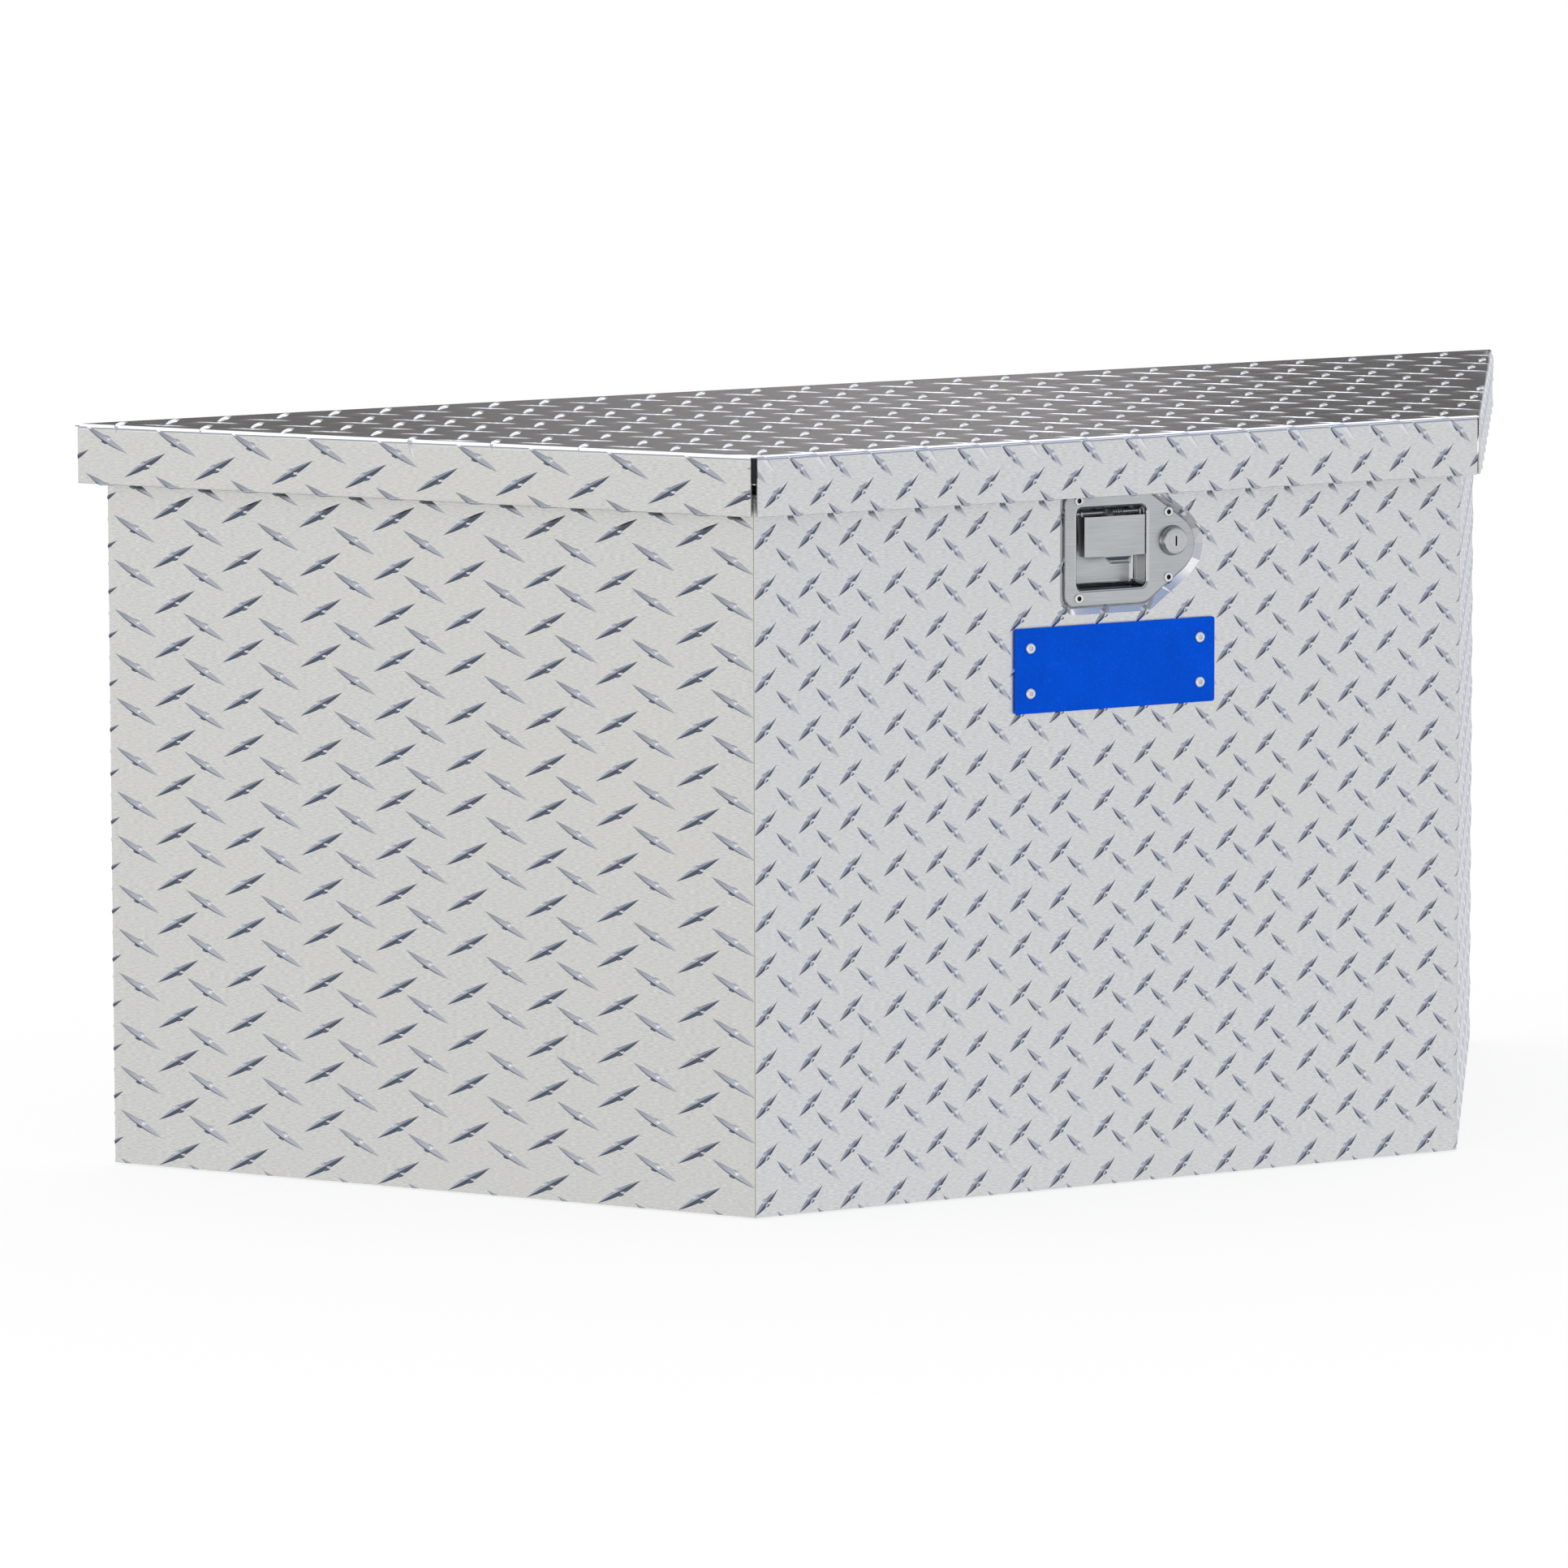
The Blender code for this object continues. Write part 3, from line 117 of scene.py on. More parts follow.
# Columns and rows of the two lug directions, rising to the right and falling: a start, a period and the steps in it,
# in millimetres, and how far they run
RISE_ROWS = (45.2, 104.7, (0, 36.6, 70.0))
FALL_ROWS = (31.2, 104.6, (0, 33.5, 67.0))
RISE_COLUMNS = (-257.8, 178.2, (0, 34.0, 71.6, 106.8, 140.6))
FALL_COLUMNS = (-276.2, 178.2, (0, 33.4, 67.4, 106.4, 140.0))
SIDE_RISE = (-576.5, 176.1, (0, 33.1, 70.3, 105.4, 138.8))
SIDE_FALL = (-595.3, 176.1, (0, 33.1, 69.0, 105.2, 138.6))
SKIRT_RISE = (-256.3, 178.2, (0, 34.0, 71.6, 106.8, 140.6))
SKIRT_FALL = (-273.9, 178.2, (0, 33.0, 67.6, 104.8, 140.2))
SIDE_SKIRT_RISE = (-597.5, 176.2, (0, 33.6, 70.6, 105.4, 139.0))
SIDE_SKIRT_FALL = (-616.2, 176.2, (0, 33.6, 69.8, 105.3, 138.9))
SKIRT_RISE_ROWS = (533.2,)
SKIRT_FALL_ROWS = (551.2, 515.6)
LID_COLUMNS = (-516.2, 136.0, (0, 49.2, 92.9))
LID_ROWS = (-209.0, -157.0, -106.1, -48.6, 2.2, 58.0, 108.8, 159.6, 216.7)
LID_FALL_SHIFT = (23.0, -27.5)
CYCLES = 12
ROW_SPAN = (-20, 560)
FRONT_SPAN = (-325, 325)
LEFT_SPAN = (-625, -295)
RIGHT_SPAN = (295, 625)
REAR_SPAN = (-625, 625)
LID_SPAN = (-640, 640)
SKIRT_SPAN = (-660, 660)
LUG_PAST_END = 0.02

# Latch plate's outline, and the recess round it
NOSE_X = 0.0485
NOSE_RADIUS = 0.0225
PLATE_HALF = 0.042
PLATE_LEFT = -0.0403
PLATE_SLOPE = math.radians(36)
PLATE_CORNER = 0.008
PLATE_BEND = 0.010
RECESS_FACETS = 4
RECESS = 0.0046
RECESS_RUN = 0.0058
RECESS_MARGIN = 0.0004
RECESS_REACH = 0.12
UNDER_PLATE = 0.012
PAN_HOLE = 0.0313
LATCH_FLAT = np.array((FRONT_HALF, LATCH_Z))

# Latch pieces: depths run into the box from the front sheet's outer face
PLATE_FRONT = 0.0026
PLATE_BACK = 0.0041
PLATE_EDGE = 0.0006
PLATE_WALL = 0.0011
PAN_HALF = (0.0296, 0.030)
PAN_CORNER = 0.0045
PAN_DEPTH = 0.020
PAN_LIP = 0.0026
PAN_FILLET = 0.0036
ROUND_STEPS = 7
QUARTER = [i / ROUND_STEPS * math.pi / 2 for i in range(ROUND_STEPS + 1)]
LEVER_SLOT = (-0.004, 0.0130, 0.004, 0.0265)
LATCH_RIVETS = ((-0.0286, -0.0364), (-0.0286, 0.0364), (NOSE_X, -0.0244), (NOSE_X, 0.0244))
RIVET_BORE = 0.0022
PADDLE_FRONT = PLATE_FRONT
PADDLE_SIDES = (-0.0229, 0.0288)
PADDLE_BOTTOM = -0.0061
PADDLE_TOP = 0.0236
PADDLE_SHEET = 0.0015
# How the paddle's sheet turns back at each side: a bend's radius and degrees, or a flat's length and 0
PADDLE_FOLDS = {-1: ((0.0008, 26), (0.0030, 0), (0.0008, 64)), 1: ((0.0012, 90),)}
PADDLE_REACH = 0.1
PADDLE_PIN = (0.012, 0.0255)
PADDLE_EAR = 0.0027
PADDLE_PIN_BORE = 0.0019
TAB_TOP = (-0.0076, 0.0171)
TAB_TIP = (-0.0003, 0.0157)
TAB_DROP = 0.0060
TAB_RIM = 0.0014
TAB_SINK = 0.0021
TAB_SLANTS = (0.008, 0.002)
TAB_STEPS = (0.0, 0.25, 0.5, 0.75, 1.0)

# Lock: its place on the plate, and its section as (radius, height)
LOCK_X = 0.0519
LOCK_RISE = 0.0029
LOCK_BORE = 0.0093
LOCK_SEAT = 0.0023
LOCK_PROUD = 0.0056
LOCK_LENGTH = 0.023
PLUG_RADIUS = 0.00596
PLUG_LAP = 0.0001
KEYWAY = (0.0007, 0.00375, 0.006)
LOCK_PROFILE = (
    (0.00602, LOCK_PROUD), (0.0092, LOCK_PROUD), (0.0096, 0.0055), (0.0099, 0.0052), (0.0102, 0.0046),
    (0.0104, 0.0038), (0.0105, 0.0029), (0.0107, 0.0012), (0.0111, 0.0006), (0.0113, 0.0003),
    (0.0114, 0.0), (0.0090, 0.0), (0.0090, -LOCK_LENGTH), (0.00602, -LOCK_LENGTH), (0.00602, LOCK_PROUD),
)

# Rivets: their shanks, how far their heads' undersides are from the ends of their CAD nodes, and the head's radius and
# height and the hole's radius and depth in each place
RIVET_SHANK = 0.0019
RIVET_SEAT = 0.0014
RIVET_STEPS = 32
RIVETS = {
    "latch": (0.0037, 0.0006, 0.0018, 0.0018),
    "nameplate": (0.0040, 0.0012, 0.0017, 0.0005),
    "hinge": (0.0033, 0.0013, 0.0013, 0.0011),
}

# Softened edges of the CAD nodes that show
SOFT_EDGE = 0.0002
NAMEPLATE_EDGE = 0.0005

# Camera, fitted to the photograph: degrees, millimetres and metres
AZIMUTH = -28.84992
ELEVATION = 7.47759
ROLL = -0.1472
LENS = 230.45
CAMERA_PLACE = (-3.78321, -6.58538, 1.27212)

# Floor: its size and place, and how light it is lit, to the camera and to other rays
FLOOR_RADIUS = 40
FLOOR_Z = -0.0015
FLOOR_TONE = 0.27
FLOOR_GLOW = 0.76
FLOOR_BOUNCE = 0.6
ROOM_LIGHT = 0.9

# What reflections see of the studio from straight down (0) to straight up (1), before and behind the box
NEAR_STUDIO = (
    (0.00, 0.80), (0.03, (0.70, 0.70, 0.72)), (0.07, (0.10, 0.12, 0.165)), (0.325, (0.105, 0.12, 0.16)),
    (0.372, (0.95, 0.96, 0.97)), (0.50, (0.95, 0.945, 0.93)), (0.57, (0.50, 0.52, 0.575)),
    (0.67, (0.50, 0.52, 0.58)), (0.72, (0.30, 0.32, 0.375)), (0.80, (0.30, 0.32, 0.375)), (0.83, 1.0), (0.87, 1.0),
    (0.895, (0.34, 0.41, 0.58)), (0.945, (0.36, 0.43, 0.60)), (0.965, (0.68, 0.69, 0.72)),
)
FAR_STUDIO = (
    (0.00, 0.80), (0.03, (0.70, 0.70, 0.72)), (0.07, (0.12, 0.14, 0.19)), (0.30, (0.16, 0.18, 0.24)),
    (0.38, (0.82, 0.82, 0.87)), (0.50, (0.78, 0.78, 0.83)), (0.52, (0.135, 0.127, 0.122)),
    (0.60, (0.135, 0.127, 0.122)), (0.612, (1.6, 1.6, 1.63)), (0.76, (1.1, 1.12, 1.15)), (0.86, 1.0),
    (0.91, (0.42, 0.49, 0.66)), (0.945, (0.42, 0.49, 0.66)), (0.965, (0.68, 0.69, 0.72)),
)
FAR_FROM = (0.70, 0.79)
# How light the studio's far end is, over the part of X where the lid shows it
PATCH_SPAN = (0.40, 0.56)
PATCH = ((0.25, 1.0), (0.52, (1.85, 1.85, 1.88)), (0.64, (1.85, 1.85, 1.88)), (0.78, 0.85))
# Bright strips across the studio, one at the right above the horizon and one overhead
STRIP = (1.3, 1.3, 1.32, 1)
LOW_STRIP = ((0.67, 0), (0.74, 1), (0.855, 1), (0.88, 0))
LOW_STRIP_X = (0.1, 0.25)
LOW_STRIP_FROM = (0.55, 0.60)
HIGH_STRIP = ((0.45, 0), (0.50, 1), (0.855, 1), (0.88, 0))
HIGH_STRIP_FROM = (0.83, 0.86)
# The light floor that reflections see, beside a dark band over Y that is wider to the left
LIGHT_FLOOR = (0.80, 0.81, 0.83, 1)
BESIDE = ((0.17, 1), (0.21, 0), (0.44, 0), (0.48, 1))
BESIDE_LEFT = ((0.17, 1), (0.21, 0))
LEFT_FROM = (0.0, -0.12)
BELOW = ((0.325, 1), (0.372, 0))
# Warmer light from the left
WARMTH = ((0.05, (1.15, 1.135, 1.09)), (0.45, (0.98, 0.99, 1.0)))
WHITE = (1, 1, 1, 1)


def link(name, data):
    made = bpy.data.objects.new(name, data)
    bpy.context.scene.collection.objects.link(made)
    return made


def to_piece(name, mesh):
    data = bpy.data.meshes.new(name)
    mesh.to_mesh(data)
    mesh.free()
    return link(name, data)


def shade(piece, degrees):
    """Smooth, but sharp where faces meet at more than these degrees."""
    piece.data.shade_smooth()
    piece.data.set_sharp_from_angle(angle=math.radians(degrees))


def settle(piece, body, slot, node=None):
    """Puts a piece on its body and in its material slot, for the CAD node that it stands for."""
    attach(piece, body)
    piece.data.materials.append(MATERIALS[slot])
    if node:
        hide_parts(node)


def cycle(start, period, steps, low, high):
    """Places start + k * period + each step, in millimetres, between low and high."""
    places = []
    for k in range(-CYCLES, CYCLES + 1):
        for step in steps:
            value = start + k * period + step
            if low < value < high:
                places.append(value)
    return sorted(places)


class Lug:
    """A raised spindle with a boss at its middle, in a sheet's own flat coordinates."""

    def __init__(self, centre, half, sign, stretch=1.0, right=(1, 0), up=(0, 1), shape=None):
        """half is its half length to the right and up; sign is 1 where it rises to the right."""
        self.height, self.ridge = shape or (LUG_HEIGHT, LUG_RIDGE[sign])
        basis = np.array((right, up), float)
        length = math.hypot(*half)
        along = np.array((half[0] * stretch, sign * half[1]))
        across = np.array((-sign * half[1], half[0])) / length * LUG_WIDTH
        across[0] *= 1 + (stretch - 1) * LUG_WIDTH_STRETCH
        self.centre = np.array(centre, float)
        self.along = along @ basis
        self.across = across @ basis
        self.frame = np.linalg.inv(np.stack([self.along, self.across], axis=1))
        self.reach = np.abs(self.along) + np.abs(self.across) * BOSS_WIDTH

    def outline(self):
        """The points and edges that a triangulation needs for crisp facets."""
        points = [self.centre - self.along, self.centre + self.along]
        edges = []
        rails = {-1: [0], 0: [0], 1: [0]}
        signed = sorted({-s for s in LUG_STATIONS[:-1]} | set(LUG_STATIONS[:-1]))
        for station in signed:
            width = np.interp(abs(station), LUG_STATIONS, LUG_WIDTHS)
            for side in (-1, 0, 1):
                rails[side].append(len(points))
                lean = side if side else self.ridge
                points.append(self.centre + self.along * station + self.across * width * lean)
        for rail in rails.values():
            rail.append(1)
            edges += list(zip(rail, rail[1:]))
        for size in BOSS_RINGS:
            start = len(points)
            for step in range(BOSS_POINTS):
                angle = 2 * math.pi * step / BOSS_POINTS
                station = self.along * BOSS_LENGTH * math.cos(angle)
                points.append(self.centre + size * (station + self.across * BOSS_WIDTH * math.sin(angle)))
                edges.append((start + step, start + (step + 1) % BOSS_POINTS))
        return points, edges

    def heights(self, points):
        """The height at each point: a roof with its ridge near the middle, or the boss where that is higher."""
        local = (points - self.centre) @ self.frame.T
        station = np.abs(local[:, 0])
        width = np.interp(station, LUG_STATIONS, LUG_WIDTHS)
        crest = np.interp(station, LUG_STATIONS, LUG_HEIGHTS)
        off = local[:, 1] / np.maximum(width, 1e-6) - self.ridge
        fall = 1 - np.abs(off) / np.where(off > 0, 1 - self.ridge, 1 + self.ridge)
        roof = crest * np.clip(fall, 0, 1) * (station < 1)
        out = (local[:, 0] / BOSS_LENGTH) ** 2 + (local[:, 1] / BOSS_WIDTH) ** 2
        boss = BOSS_HEIGHT * np.clip(1 - out, 0, 1)
        boss[out > BOSS_CLEAR] = 0
        return self.height * np.maximum(roof, boss)


def inside(points, ring):
    """Which points lie inside a ring, by counting crossings."""
    ring = np.array(ring)
    nxt = np.roll(ring, -1, axis=0)
    result = np.zeros(len(points), bool)
    for (x0, y0), (x1, y1) in zip(ring, nxt):
        if y0 == y1:
            continue
        crosses = (points[:, 1] > min(y0, y1)) & (points[:, 1] <= max(y0, y1))
        where = x0 + (points[:, 1] - y0) * (x1 - x0) / (y1 - y0)
        result ^= crosses & (points[:, 0] < where)
    return result


def rectangle(left, low, right, high):
    return [(left, low), (right, low), (right, high), (left, high)]


def cut(points, edges, outline, holes, apart):
    """Triangles over flat points and edges, inside the outline and outside its holes. The last value lists, for each
    new point, the given points that it stands for."""
    found = delaunay_2d_cdt([Vector(p) for p in points], edges, [], 0, apart)
    verts = np.array([(v.x, v.y) for v in found[0]])
    faces = np.array(found[2])
    middle = verts[faces].mean(axis=1)
    keep = inside(middle, outline)
    for hole in holes:
        keep &= ~inside(middle, hole)
    return verts, faces[keep], found[3]


def add_chain(points, edges, chain, closed):
    start = len(points)
    count = len(chain)
    points.extend(chain)
    edges += [(start + i, start + (i + 1) % count) for i in range(count if closed else count - 1)]


def triangulate(outline, holes, lines, lugs):
    """Flat triangles of a sheet, cut along its bend lines and its lugs."""
    points = []
    edges = []
    for ring in (outline, *holes):
        add_chain(points, edges, ring, True)
    for line in lines:
        add_chain(points, edges, line, False)
    for lug in lugs:
        more, joins = lug.outline()
        start = len(points)
        points.extend(more)
        edges += [(a + start, b + start) for a, b in joins]
    verts, faces, _ = cut(points, edges, outline, holes, 1e-6)
    used, back = np.unique(faces, return_inverse=True)
    return verts[used], back.reshape(faces.shape)


def height_of(points, lugs):
    total = np.zeros(len(points))
    for lug in lugs:
        near = (np.abs(points - lug.centre) <= lug.reach).all(axis=1)
        if near.any():
            total[near] = np.maximum(total[near], lug.heights(points[near]))
    return total


def border(faces):
    """The directed edges that only one triangle has."""
    ends = np.concatenate([faces[:, [0, 1]], faces[:, [1, 2]], faces[:, [2, 0]]])
    key = np.sort(ends, axis=1)
    _, index, count = np.unique(key, axis=0, return_inverse=True, return_counts=True)
    return ends[count[index.reshape(-1)] == 1]


def sheet_piece(name, outline, holes, lines, lugs, place, polish=None, thickness=SHEET, grain=None, corner_band=None):
    """A lugged sheet. place maps flat points to positions and outward normals. polish and corner_band mark faces by
    their middles, and grain turns the flat corners of faces into the coordinates that the rolling streaks follow."""
    flat, faces = triangulate(outline, holes, lines, lugs)
    rise = height_of(flat, lugs)
    where, normal = place(flat)
    rim = [(int(a), int(b)) for a, b in border(faces)]
    number = {p: i for i, p in enumerate(sorted({p for edge in rim for p in edge}))}
    back_points = [flat[p] for p in number]
    back_edges = [(number[a], number[b]) for a, b in rim]
    for line in lines:
        add_chain(back_points, back_edges, line, False)
    inner_flat, inner_faces, origins = cut(back_points, back_edges, outline, holes, 1e-7)
    home = {old: new for new, olds in enumerate(origins) for old in olds if old < len(number)}
    inner_where, inner_normal = place(inner_flat)

    mesh = bmesh.new()
    top = [mesh.verts.new(p) for p in where + normal * rise[:, None]]
    low = [mesh.verts.new(p) for p in inner_where - inner_normal * thickness]
    middle = flat[faces].mean(axis=1)
    marks = {"lug": (rise[faces] > 1e-7).any(axis=1)}
    for key, mark in (("polish", polish), ("corner_band", corner_band)):
        marks[key] = mark(middle) if mark else np.zeros(len(faces))
    layers = [mesh.faces.layers.float.new(key) for key in marks]
    uv = mesh.loops.layers.uv.new("sheet")

    def add(corners, spots):
        face = mesh.faces.new(corners)
        for loop, spot in zip(face.loops, spots):
            loop[uv].uv = spot
        return face

    streaks = grain(flat[faces]) if grain else flat[faces]
    for face, run, *marked in zip(faces, streaks, *marks.values()):
        made = add([top[i] for i in face], run)
        for layer, mark in zip(layers, marked):
            made[layer] = float(mark)
    for face in inner_faces[:, ::-1]:
        add([low[i] for i in face], inner_flat[face])
    for a, b in rim:
        c = home[number[a]]
        d = home[number[b]]
        if c != d:
            add((top[b], top[a], low[c], low[d]), flat[[b, a, a, b]])
    loose = [v for v in mesh.verts if not v.link_faces]
    bmesh.ops.delete(mesh, geom=loose, context="VERTS")
    piece = to_piece(name, mesh)
    shade(piece, SHEET_SHARP)
    return piece


def rounded_path(turns):
    """A path in (out, up) made of straight runs and arcs: returns (lengths, points, normals)."""
    lengths = [0.0]
    points = [np.zeros(2)]
    heading = 0.0
    headings = [0.0]
    for length, angle in turns:
        steps = 1 if angle == 0 else max(2, round(FOLD_STEPS * abs(angle) / (math.pi / 2)))
        for _ in range(steps):
            half = angle / steps / 2
            run = length / steps
            chord = run if angle == 0 else run * math.sin(abs(half)) / abs(half)
            course = heading + half
            points.append(points[-1] + chord * np.array((math.cos(course), math.sin(course))))
            heading += 2 * half
            lengths.append(lengths[-1] + run)
            headings.append(heading)
    return np.array(lengths), np.array(points), np.array(headings)


def along_path(path, at):
    """Position and left-hand normal on a path at the given lengths."""
    lengths, points, headings = path
    where = np.stack([np.interp(at, lengths, points[:, i]) for i in (0, 1)], axis=1)
    heading = np.interp(at, lengths, headings)
    return where, np.stack([-np.sin(heading), np.cos(heading)], axis=1)


def lattice(columns, rows, low, high):
    return [(x, z) for x in cycle(*columns, low, high) for z in rows]


def wall_lugs(corner_x, stretch, rise, fall, span):
    """The lugs of one tub wall, in metres from the wall's first corner."""
    lugs = []
    for columns, rows, sign in ((rise, RISE_ROWS, 1), (fall, FALL_ROWS, -1)):
        for x, z in lattice(columns, cycle(*rows, *ROW_SPAN), *span):
            centre = ((x * MM - corner_x) * stretch, z * MM)
            lugs.append(Lug(centre, LUG_HALF, sign, stretch))
    return lugs


def wall(name, first, last, turn_first, turn_last, lugs, holes=(), lines=(), sink=None, polish=None):
    """One tub wall from its first to its last corner, seen from outside left to right."""
    first = np.array(first)
    span = np.array(last) - first
    length = float(np.linalg.norm(span))
    along = span / length
    outward = np.array((along[1], -along[0]))
    cut_first, cut_last = (CORNER_RADIUS * math.tan(turn / 2) for turn in (turn_first, turn_last))
    arc_first, arc_last = (CORNER_RADIUS * turn / 2 for turn in (turn_first, turn_last))
    height = RIM_Z - RIM_RADIUS
    bend = RIM_RADIUS * math.pi / 2
    rise = rounded_path([(height, 0), (bend, math.pi / 2), (RIM_LIP - RIM_RADIUS, 0)])
    top = rise[0][-1]

    def ends(inset):
        return inset * math.tan(turn_first / 2), length - inset * math.tan(turn_last / 2)

    low_left = cut_first - arc_first
    low_right = length - cut_last + arc_last
    fold_left, fold_right = ends(RIM_RADIUS)
    lip_left, lip_right = ends(RIM_LIP)
    outline = [(low_left, 0), (low_right, 0), (low_right, height), (fold_right, height + bend), (lip_right, top)]
    outline += [(lip_left, top), (fold_left, height + bend), (low_left, height)]
    folds = [[(-1, at), (length + 1, at)] for at in rise[0][1:-1]]
    for i in range(SEAM_STEPS):
        share = (i + 1) / SEAM_STEPS
        for at in (low_left + arc_first * share, low_right - arc_last * share):
            folds.append([(at, -1), (at, 1)])
    at_end = turn_last == FRONT_TURN
    band_from = length - CORNER_BAND_WIDTH if at_end else CORNER_BAND_WIDTH
    has_band = turn_first != turn_last
    if has_band:
        folds.append([(band_from, -1), (band_from, 1)])
    box_low = np.array((low_left, 0.0))
    box_high = np.array((low_right, top))
    folds = [[tuple(np.clip(p, box_low, box_high)) for p in line] for line in folds]

    def place(flat):
        at = flat[:, 0]
        turn_a = np.clip((cut_first - at) / max(arc_first, 1e-9), 0, 1) * turn_first / 2
        turn_b = np.clip((at - (length - cut_last)) / max(arc_last, 1e-9), 0, 1) * turn_last / 2
        base = np.clip(at, cut_first, length - cut_last)
        shift = CORNER_RADIUS * (np.sin(turn_b) - np.sin(turn_a))
        back = CORNER_RADIUS * (2 - np.cos(turn_a) - np.cos(turn_b))
        plan = first + along * (base + shift)[:, None] - outward * back[:, None]
        normal = outward * np.cos(turn_a + turn_b)[:, None] + along * np.sin(turn_b - turn_a)[:, None]
        up, tilt = along_path(rise, flat[:, 1])
        where = np.column_stack([plan - outward * up[:, 1:], up[:, 0]])
        if sink:
            where[:, :2] -= outward * sink(flat)[:, None]
        return where, np.column_stack([normal * tilt[:, 1:], -tilt[:, 0]])

    def corner_band(middle):
        """A side wall's strip along the front corner, which the sheet's material colours a darker olive."""
        return has_band & ((middle[:, 0] > band_from) == at_end)

    piece = sheet_piece(name + "_sheet", outline, list(holes), folds + list(lines), lugs, place, polish, corner_band=corner_band)
    settle(piece, "tub", "tread_plate", name)


def teardrop(offset, nose_steps=16):
    """The latch plate's outline round the middle of its pan, moved out by offset."""
    nose = NOSE_RADIUS + offset
    half = PLATE_HALF + offset
    left = PLATE_LEFT - offset
    tip = NOSE_X + nose / math.sin(PLATE_SLOPE)
    bend = tip - half / math.tan(PLATE_SLOPE)
    lower = round_corner((tip, 0), (left, -half), (left, half), PLATE_CORNER + offset)[::-1]
    lower += round_corner((left, -half), (bend, -half), (tip, 0), PLATE_BEND)
    arc = []
    for step in range(nose_steps + 1):
        angle = (math.pi / 2 - PLATE_SLOPE) * (2 * step / nose_steps - 1)
        arc.append((NOSE_X + nose * math.cos(angle), nose * math.sin(angle)))
    return lower + arc + [(x, -z) for x, z in reversed(lower)]


def round_corner(before, corner, after, radius, steps=6):
    """An arc that replaces the corner between the points before and after it."""
    here = Vector(corner)
    if corner[0] == after[0]:
        before = (before[0], corner[1])
    back = (Vector(before) - here).normalized()
    ahead = (Vector(after) - here).normalized()
    half = back.angle(ahead) / 2
    centre = here + (back + ahead).normalized() * radius / math.sin(half)
    start = here + back * radius / math.tan(half) - centre
    sweep = (math.pi - 2 * half) * (1 if ahead.cross(back) > 0 else -1)
    return [tuple(centre + Matrix.Rotation(sweep * i / steps, 2) @ start) for i in range(steps + 1)]


def distance_outside(points, ring):
    """Distance of each point from a ring, below 0 inside it."""
    ring = np.array(ring)
    nearest = np.full(len(points), 1e9)
    for a, b in zip(ring, np.roll(ring, -1, axis=0)):
        edge = b - a
        share = np.clip(((points - a) @ edge) / (edge @ edge), 0, 1)
        gap = points - a - share[:, None] * edge
        nearest = np.minimum(nearest, np.hypot(gap[:, 0], gap[:, 1]))
    return np.where(inside(points, ring), -nearest, nearest)


def in_front(ring):
    return [tuple(np.array(p) + LATCH_FLAT) for p in ring]


def recess_depth(flat):
    local = flat - LATCH_FLAT
    near = (np.abs(local) < RECESS_REACH).all(axis=1)
    depth = np.zeros(len(flat))
    if near.any():
        foot = distance_outside(local[near], teardrop(RECESS_MARGIN, RECESS_FACETS))
        rim = -distance_outside(local[near], teardrop(RECESS_MARGIN + RECESS_RUN, RECESS_FACETS))
        share = rim / np.maximum(rim + foot, 1e-9)
        depth[near] = RECESS * np.where(foot <= 0, 1, np.clip(share, 0, 1))
    return depth


def recess_polish(middle):
    """The recess's walls, apart from the upper right, which is as brushed as the sheet."""
    depth = recess_depth(middle)
    right, up = (middle - LATCH_FLAT).T
    return (depth > 1e-5) & (depth < RECESS - 1e-5) & ((right < 0) | (up < LOCK_RISE))


def make_walls():
    lugs = wall_lugs(-FRONT_HALF, 1.0, RISE_COLUMNS, FALL_COLUMNS, FRONT_SPAN)
    loops = [in_front(teardrop(RECESS_MARGIN + run, RECESS_FACETS)) for run in (RECESS_RUN, 0)]
    loops = [ring + ring[:1] for ring in loops]
    centres = np.array([lug.centre for lug in lugs]) - LATCH_FLAT
    hidden = distance_outside(centres, teardrop(0)) < -UNDER_PLATE
    lugs = [lug for lug, hide in zip(lugs, hidden) if not hide]
    hole = in_front(rectangle(-PAN_HOLE, -PAN_HOLE, PAN_HOLE, PAN_HOLE))
    recess = ([hole], loops, recess_depth, recess_polish)
    wall("front_panel", FRONT_LEFT, FRONT_RIGHT, FRONT_TURN, FRONT_TURN, lugs, *recess)
    lugs = wall_lugs(-REAR_HALF, STRETCH, SIDE_RISE, SIDE_FALL, LEFT_SPAN)
    wall("left_side_panel", REAR_LEFT, FRONT_LEFT, REAR_TURN, FRONT_TURN, lugs)
    lugs = wall_lugs(FRONT_HALF, STRETCH, RISE_COLUMNS, FALL_COLUMNS, RIGHT_SPAN)
    wall("right_side_panel", FRONT_RIGHT, REAR_RIGHT, FRONT_TURN, REAR_TURN, lugs)
    lugs = wall_lugs(-REAR_HALF, 1.0, RISE_COLUMNS, FALL_COLUMNS, REAR_SPAN)
    wall("rear_panel", REAR_RIGHT, REAR_LEFT, REAR_TURN, REAR_TURN, lugs)


def lid_corners():
    """The corners of the lid's flat top from above, where its folds start."""
    front = FRONT_Y - OVERHANG + FOLD_RADIUS
    rear = REAR_Y + REAR_OVERHANG - FOLD_RADIUS
    inset = (FOLD_RADIUS - OVERHANG) / math.cos(SIDE_ANGLE)
    near, far = (FRONT_HALF + (y - FRONT_Y) * SLOPE - inset for y in (front, rear))
    return [np.array(p) for p in ((-near, front), (near, front), (far, rear), (-far, rear))]


